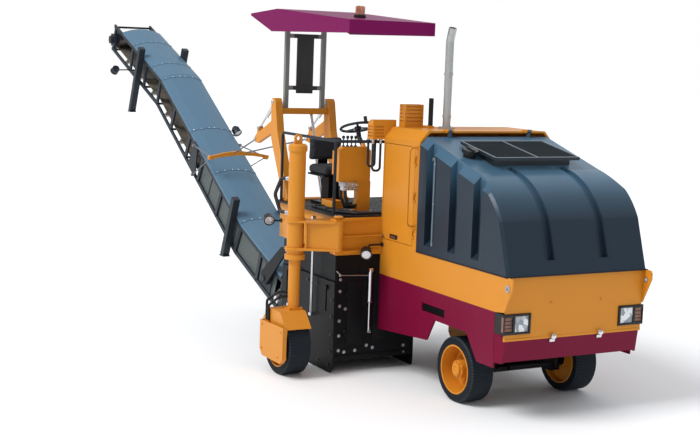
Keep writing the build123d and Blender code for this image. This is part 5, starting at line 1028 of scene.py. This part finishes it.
class PLANER_OT_fastenings(bpy.types.Operator):
    """Bolts, studs and pins on the body, drum box, plates and conveyor"""
    bl_idname = "planer.fastenings"
    bl_label = "Fastenings"

    def execute(self, context):
        radius = sizes().bolt_radius
        box = [(BOX_FACE, y, z) for y, heights in DRUM_BOX_BOLTS for z in heights]
        bolts("drum_box_bolts", on(FORWARD, box), "bolt_steel", "machine", radius, 0.009)
        plate = [(x, -1.4112, z) for x, z in SIDE_PLATE_BOLTS]
        bolts("side_plate_bolts", on(RIGHT, plate), "black_bolt", "side_plate_right", radius, 0.009)
        front = [(0.8898, y, 1.151) for y in (-0.294, 0.306)]
        bolts("front_plate_bolts", on(FORWARD, front), "orange_bolt", "machine", 0.011, 0.006)
        studs = Work()
        for y in (-0.267, 0.302):
            studs.turned((0.889, y, 0.826), FORWARD, STUD)
            studs.box(0.889, 0.902, y - 0.03, y + 0.03, 0.77, 0.8)
        studs.hang("front_studs", "chrome_rod")
        bush = Work()
        for sign in (-1, 1):
            bush.ring((0.94, sign * 0.817, 1.32), (0, sign, 0), EYE_BUSH)
        bush.hang("lifting_eye_bushes", "bolt_steel")
        stack = circle((STACK_X, STACK_Y, 2.686), UP, 0.07, 6)
        bolts("exhaust_bolts", stack, "bolt_steel", "machine", 0.008, 0.007)
        clamps = Work()
        for z in (2.79, 3.24):
            clamps.ring((STACK_X, STACK_Y, z), UP, [(0.0425, 0), (0.0485, 0), (0.0485, 0.028), (0.0425, 0.028)])
            clamps.box(-1.062, -1.034, -0.3, -0.28, z + 0.004, z + 0.024, bevel=0.002)
        clamps.hang("exhaust_clamps", "stack_steel")
        self.pins()
        self.conveyor()
        return {"FINISHED"}

    def pins(self):
        """Pins of the mast levers and the swing arm, and bolts of the wheel guards and legs."""
        mast = Work()
        for y in (MACHINE_Y - 0.35, MACHINE_Y + 0.35):
            for x, z in ((-3.345, 2.555), (-3.762, 2.497), (-3.852, 2.352)):
                mast.turned((x, y - 0.036, z), LEFT, LEVER_PIN, 18)
            mast.turned((-3.33, y - 0.052, 2.832), LEFT, MAST_PIN, 18)
        mast.hang("mast_pins", "bolt_steel")
        Work().turned((*SWING_PIN, 1.701), UP, PIN_CAP).hang("swing_pin_cap", "orange_bolt")
        bolts("swing_pin_bolts", circle((*SWING_PIN, 1.7205), UP, 0.032, 4), "bolt_steel", "machine", 0.007, 0.006)
        for side, column_y in COLUMN_Y.items():
            body = "leg_" + side
            guard = [(LEG_X + x, column_y - 0.2705, z)
                     for x, z in ((-0.2, 0.51), (0.265, 0.51), (-0.2, 0.25), (0.205, 0.23))]
            bolts("guard_bolts_" + body, on(RIGHT, guard), "orange_bolt", body, 0.01, 0.006)
            foot = [(LEG_X + x, column_y + y, 0.7185) for y in (-0.07, 0.058) for x in (-0.07, 0.07)]
            bolts("leg_foot_bolts_" + body, on(UP, foot), "orange_bolt", body, 0.01, 0.007)

    def conveyor(self):
        """Bolts of the truss, and the pulley bearings with their bolts."""
        places = []
        for sign in (-1, 1):
            y = CONVEYOR_Y + sign * (CONVEYOR_HALF + 0.0002)
            for segment, share in UPRIGHTS:
                for height in (-CHORD_REACH, CHORD_REACH):
                    for step in (-0.007, 0.007):
                        x, z = along(segment, share + step, height)
                        places.append(((x, y, z), (0, sign, 0), FORWARD))
        bolts("truss_bolts", places, "black_bolt", "conveyor", 0.01, 0.007)
        bearings, around = Work(), []
        for (x, z), sign in ((CONVEYOR_LINE[0], -1), (CONVEYOR_LINE[0], 1), (CONVEYOR_LINE[-1], 1)):
            y, aim = CONVEYOR_Y + sign * 0.2855, (0, sign, 0)
            bearings.turned((x, y, z), aim, BEARING)
            around += circle((x, y + sign * 0.017, z), aim, 0.064, 4, 0.6)
        bearings.hang("pulley_bearings", "black_bolt", "conveyor")
        bolts("pulley_bearing_bolts", around, "bolt_steel", "conveyor", 0.008, 0.007)


# ---- conveyor
COVER_SEAMS = ((2, 0.59), (2, 0.18), (1, 0.985), (1, 0.603), (1, 0.317), (1, 0.012))
COVER_EDGE = [(-0.3, 0.214), (-0.3, 0.242), (-0.186, 0.284), (-0.066, 0.302), (0.066, 0.302), (0.186, 0.284),
              (0.3, 0.242), (0.3, 0.214)]
RIVET_SPOTS = ((-0.25, 0.2605), (-0.15, 0.2895), (-0.04, 0.302), (0.04, 0.302), (0.15, 0.2895), (0.25, 0.2605))
# run of the conveyor and the shares along it of the return rollers
ROLLERS = ((0, (0.55,)), (1, (0.1, 0.33, 0.55, 0.7, 0.9)), (2, (0.16, 0.45, 0.75)))
STRAP_RISE = 0.0045


class PLANER_OT_conveyor(bpy.types.Operator):
    """Cover straps with their rivets, return rollers, belt cleats and sheet stiffeners of the conveyor"""
    bl_idname = "planer.conveyor"
    bl_label = "Conveyor"

    def execute(self, context):
        straps, rivets = Work(), []
        edge = [(y * 1.012, height + STRAP_RISE) for y, height in COVER_EDGE]
        edge += [(y * 0.998, height - 0.001) for y, height in reversed(COVER_EDGE)]
        for segment, share in COVER_SEAMS:
            step = 0.017 / run(segment)[-1]
            straps.ribbon([[self.across(segment, where, y, height) for y, height in edge]
                           for where in (share - step, share + step)])
            rivets += [(self.across(segment, share, y, height + STRAP_RISE), away(segment), LEFT)
                       for y, height in RIVET_SPOTS]
        straps.hang("cover_straps", "cover_paint", "conveyor")
        repeated("cover_rivets", "rivet", rivets, "bolt_steel", "conveyor", radius=0.009, height=0.004)
        rollers = [(self.across(segment, share, 0, -0.163), UP, LEFT)
                   for segment, shares in ROLLERS for share in shares]
        repeated("return_rollers", "roller", rollers, "pulley_steel", "conveyor", radius=0.036, length=0.5, neck=0.012)
        cleats = [(self.across(segment, (index + 0.5) / count, 0, -0.1215), away(segment, -1), LEFT)
                  for segment, count in ((1, 26), (2, 16)) for index in range(count)]
        bars("belt_cleats", cleats, "belt_rubber", "conveyor", 0.4, 0.018, 0.004)
        flanges = Work()
        for sign in (-1, 1):
            y = CONVEYOR_Y + sign * 0.272
            for share in (0.11, 0.33):
                flanges.ribbon([[(x - 0.012, y, z), (x + 0.012, y, z), (x + 0.012, y + sign * 0.01, z),
                                 (x - 0.012, y + sign * 0.01, z)]
                                for x, z in (along(1, share, -0.16), along(1, share, 0.16))])
        flanges.hang("infill_stiffeners", "truss_paint", "conveyor")
        return {"FINISHED"}

    def across(self, segment, share, y, height):
        """Point beside one straight run of the conveyor's middle line."""
        x, z = along(segment, share, height)
        return x, CONVEYOR_Y + y, z


# ---- drum box, body and platform fittings
PANELS = ((-1.4545, -1.225, -1.025, 0.3, 1.0, 0.004), (-1.4545, -0.905, -0.56, 0.33, 1.08, 0.004),
          (-1.452, -1.38, -0.4, 0.132, 0.19, 0.003), (-1.4525, -1.38, -1.345, 0.2, 1.27, 0.003))
LATCH_WIRE = [(-1.462, -1.375, 1.122), (-1.446, -1.36, 1.105), (-1.446, -1.328, 1.071), (-1.446, -1.3, 1.069),
              (-1.446, -0.993, 1.054), (-1.462, -0.986, 1.05)]
TREAD_ROWS, TREAD_COLUMNS, TREAD_STEP, TREAD_ROW = 26, 17, 0.088, 0.084
WIRE_EYE = [(0, 0), (0.016, 0), (0.016, 0.022), (0.01, 0.028), (0, 0.028)]
DOOR_LOCK = [(0, 0), (0.021, 0), (0.021, 0.006), (0.014, 0.01), (0, 0.01)]


class PLANER_OT_body(bpy.types.Operator):
    """Inspection panel and latches, door lock, slot louvres over a black backing plate that paints the shade inside the
    slots, front lip and deck tread
    """
    bl_idname = "planer.body"
    bl_label = "Body fittings"

    def execute(self, context):
        panel = Work()
        for face, y0, y1, z0, z1, bevel in PANELS:
            panel.box(BOX_FACE, face, y0, y1, z0, z1, bevel=bevel)
        for z in (0.42, 0.86):
            panel.box(-1.456, -1.44, -1.262, -1.215, z - 0.03, z + 0.03, bevel=0.004)
            panel.turned((-1.447, -1.226, z - 0.045), UP, [(0, 0), (0.009, 0), (0.009, 0.09), (0, 0.09)], 12)
        panel.hang("drum_box_panels", "frame_paint")
        wire = Work().strip(LATCH_WIRE, 0.0055)
        wire.turned((-1.463, -1.33, 1.071), FORWARD, WIRE_EYE, 14).hang("latch_wire", "bolt_steel")
        plate = Work().box(-1.265, -1.107, -0.845, -0.838, 1.484, 1.532)
        plate.hang("door_latch_plate", "lamp_shell", "side_door")
        paddle = Work().box(-1.235, -1.15, -0.85, -0.843, 1.493, 1.514)
        paddle.turned((-1.4, -0.838, 1.49), RIGHT, DOOR_LOCK, 20)
        paddle.hang("door_latch_paddle", "bolt_steel", "side_door")
        louvres = Work()
        for sign in (-1, 1):
            # painted shade: a black backing plate close behind each slot stands for the dark inside of the slot
            louvres.box(-0.575, -0.108, sign * 0.8195, sign * 0.812, 0.822, 0.924)
            for z in (0.856, 0.89):
                louvres.box(-0.56, -0.122, sign * 0.834, sign * 0.819, z - 0.004, z + 0.004, bevel=0.002)
        louvres.hang("slot_louvres", "frame_paint")
        lip = Work()
        lip.ribbon([[(x, y, z) for x, z in ((FRONT_FACE, 0.806), (0.896, 0.806), (0.896, 0.827), (FRONT_FACE, 0.833))]
                    for y in (-0.818, 0.818)])
        for sign in (-1, 1):
            lip.ribbon([[(x, sign * y, z) for x, z in ((FRONT_FACE, 1.418), (0.8935, 1.416), (0.8935, 1.072),
                                                       (FRONT_FACE, 1.07))] for y in (0.8, 0.818)])
        lip.hang("front_plate_lip", "body_paint")
        tread = []
        for row in range(TREAD_ROWS):
            for column in range(TREAD_COLUMNS):
                x, y = -2.93 + (column + (row % 2) / 2) * TREAD_STEP, -1.33 + row * TREAD_ROW
                # short of the deck's front edge and clear of the left column
                if x < -1.49 and (x - LEG_X) ** 2 + (y - COLUMN_Y["left"]) ** 2 > 0.02:
                    tread.append(((x, y, DECK_TOP), UP, (1, 0.6 if (row + column) % 2 else -0.6, 0)))
        bars("deck_tread", tread, "deck_paint", "machine", 0.034, 0.008, 0.0025)
        canopy = Work()
        for side in (-1, 1):
            y = MACHINE_Y + side * CANOPY_HALF
            canopy.strip([(-1.246, y, CANOPY_EDGE), (-3.148, y, CANOPY_EDGE + 0.009)], 0.007)
        canopy.strip([(-1.244, MACHINE_Y + y, CANOPY_EDGE) for y in (-0.516, 0.516)], 0.007)
        for x in (-1.75, -2.75):
            canopy.box(x - 0.018, x + 0.018, MACHINE_Y - 0.505, MACHINE_Y + 0.505, 3.735, 3.775)
        canopy.hang("canopy_edging", "canopy_paint")
        return {"FINISHED"}


# ---- operator's place
UPPER_PORT = [(0, 0), (0.016, 0), (0.016, 0.014), (0.012, 0.016), (0.012, 0.034), (0, 0.034)]
LOWER_PORT = [(0, 0), (0.014, 0), (0.014, 0.01), (0.01, 0.026), (0, 0.026)]
DIAL = [(0, 0), (0.046, 0), (0.048, 0.006), (0.044, 0.012), (0.04, 0.01), (0, 0.009)]
LEVER = [(0, 0), (0.02, 0), (0.016, 0.012), (0.007, 0.022), (0.006, 0.08), (0.015, 0.092), (0.018, 0.106),
         (0.013, 0.119), (0, 0.123)]
HOSE_END = [(0, 0), (0.021, 0), (0.021, 0.02), (0.0175, 0.022), (0.0175, 0.05), (0.0145, 0.052)]
COLUMN_END = [(0, 0), (0.028, 0), (0.028, 0.022), (0.024, 0.024), (0.024, 0.052), (0.0205, 0.054)]


class PLANER_OT_controls(bpy.types.Operator):
    """Gauges, switches, levers, valve bank and hose ends"""
    bl_idname = "planer.controls"
    bl_label = "Controls"

    def execute(self, context):
        bank = Work().box(-1.738, -1.664, -1.215, -1.03, 1.958, 2.0495, bevel=0.006)
        for y in (-1.192 + index * 0.046 for index in range(4)):
            bank.turned((-1.665, y, 2.02), FORWARD, UPPER_PORT, 14)
            bank.turned((-1.665, y, 1.982), FORWARD, LOWER_PORT, 14)
        bank.hang("valve_bank", "bolt_steel")
        dials = Work()
        for y in (-1.17, -1.05, -0.935):
            dials.turned((-1.789, y, 2.3), BACK, DIAL, 28)
        for y in (-1.205 + index * 0.043 for index in range(8)):
            dials.box(-1.8, -1.789, y - 0.011, y + 0.011, 2.17, 2.205)
        for y in (-0.945 + index * 0.04 for index in range(6)):
            dials.box(-1.592, -1.579, y - 0.012, y + 0.012, 2.61, 2.64)
        dials.hang("console_dials", "gauge_face")
        levers = Work()
        for y, lean in ((-1.185, 0.0), (-1.135, 0.012), (-1.085, -0.01), (-1.035, 0.006)):
            levers.turned((-1.75, y, 2.428), (lean, 0, 1), LEVER, 16)
        levers.hang("console_levers", "grip_plastic")
        ends = Work()
        for x, y in ((-1.486, -0.968), (-1.486, -0.872), (-1.572, -0.975), (-1.572, -0.89)):
            ends.turned((x, y, 2.531), DOWN, HOSE_END, 12)
        for x, y in ((-1.768, -1.19), (-1.732, -1.15)):
            ends.turned((x, y, 2.0505), DOWN, [(radius * 1.25, reach) for radius, reach in HOSE_END], 12)
        ends.hang("hose_ends", "bolt_steel")
        column = Work()
        for x, y, z in ((-0.904, -0.428, 2.09), (-0.908, -0.418, 1.726)):
            start = (LEG_X + x * 0.088, COLUMN_Y["right"] + y * 0.088, z)
            column.turned(start, (x, y, 0), COLUMN_END, 14)
        column.hang("column_hose_ends", "bolt_steel", "column_right")
        return {"FINISHED"}


# ---- seat
# name, planes of the block from the rear, the right and below, radius of its corners
CUSHIONS = (("seat_pad", (-2.715, -2.262, -1.13, -0.7, 2.0625, 2.15), 0.034),
            ("back_pad", (-2.734, -2.652, -1.122, -0.708, 2.198, 2.466), 0.03))
MOST_SWELL = 0.012
VOXEL = 0.006
PRESSURE = 4.0
LAST_FRAME = 20


class PLANER_OT_seat(bpy.types.Operator):
    """Padded seat and back, swollen by a short cloth simulation"""
    bl_idname = "planer.seat"
    bl_label = "Seat"

    def execute(self, context):
        for made in [self.pad(*cushion) for cushion in CUSHIONS]:
            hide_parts("seat_cushions")
        return {"FINISHED"}

    def pad(self, name, planes, corner):
        """One cushion: a rounded block that swells under pressure, held to a small travel."""
        shape = Work().box(*planes, bevel=0)
        shape.bevel(shape.bm.edges, corner, 4, 0.5)
        bmesh.ops.recalc_face_normals(shape.bm, faces=shape.bm.faces)
        mesh = bpy.data.meshes.new(name)
        shape.bm.to_mesh(mesh)
        shape.bm.free()
        made = bpy.data.objects.new(name, mesh)
        bpy.context.scene.collection.objects.link(made)
        self.swell(made)
        for polygon in made.data.polygons:
            polygon.use_smooth = True
        made.data.materials.append(finishes["seat_cloth"])
        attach(made, "machine")
        return made

    def swell(self, made):
        """Remesh, blow up with the cloth solver and limit the travel."""
        remesh = made.modifiers.new("even", "REMESH")
        remesh.mode = "VOXEL"
        remesh.voxel_size = VOXEL
        even = baked(made)
        made.modifiers.remove(remesh)
        made.data = even
        start = [vertex.co.copy() for vertex in even.vertices]
        soft = made.modifiers.new("cloth", "CLOTH")
        soft.settings.use_pressure = True
        soft.settings.uniform_pressure_force = PRESSURE
        soft.settings.effector_weights.gravity = 0.0
        scene = bpy.context.scene
        for number in range(1, LAST_FRAME + 1):
            scene.frame_set(number)
        blown = baked(made)
        scene.frame_set(1)
        made.modifiers.remove(soft)
        for vertex, before in zip(blown.vertices, start):
            travel = vertex.co - before
            if travel.length > MOST_SWELL:
                travel = travel.normalized() * MOST_SWELL
            vertex.co = before + travel
        made.data = blown


OPERATORS = [PLANER_OT_stage, PLANER_OT_finishes, PLANER_OT_hood, PLANER_OT_lamps, PLANER_OT_wheels,
             PLANER_OT_fastenings, PLANER_OT_conveyor, PLANER_OT_body, PLANER_OT_controls, PLANER_OT_seat]


class PLANER_PT_sidebar(bpy.types.Panel):
    """Buttons that build each group of pieces"""
    bl_idname = "PLANER_PT_sidebar"
    bl_label = "Planer"
    bl_space_type = "VIEW_3D"
    bl_region_type = "UI"
    bl_category = "Planer"

    def draw(self, context):
        for group in (context.scene.planer_colours, context.scene.planer_sizes):
            for key in group.bl_rna.properties.keys():
                if key not in ("rna_type", "name"):
                    self.layout.prop(group, key)
        for operator in OPERATORS:
            self.layout.operator(operator.bl_idname)


CLASSES = [PlanerColours, PlanerSizes, *OPERATORS, PLANER_PT_sidebar]


def register():
    """Register the classes and hang the settings on the scene."""
    for cls in CLASSES:
        bpy.utils.register_class(cls)
    bpy.types.Scene.planer_colours = bpy.props.PointerProperty(type=PlanerColours)
    bpy.types.Scene.planer_sizes = bpy.props.PointerProperty(type=PlanerSizes)


def unregister():
    """Take the settings and classes away again."""
    del bpy.types.Scene.planer_sizes
    del bpy.types.Scene.planer_colours
    for cls in reversed(CLASSES):
        bpy.utils.unregister_class(cls)


def main():
    """Build every group in order."""
    register()
    for operator in OPERATORS:
        group, name = operator.bl_idname.split(".")
        getattr(getattr(bpy.ops, group), name)()


if __name__ == "__main__":
    main()
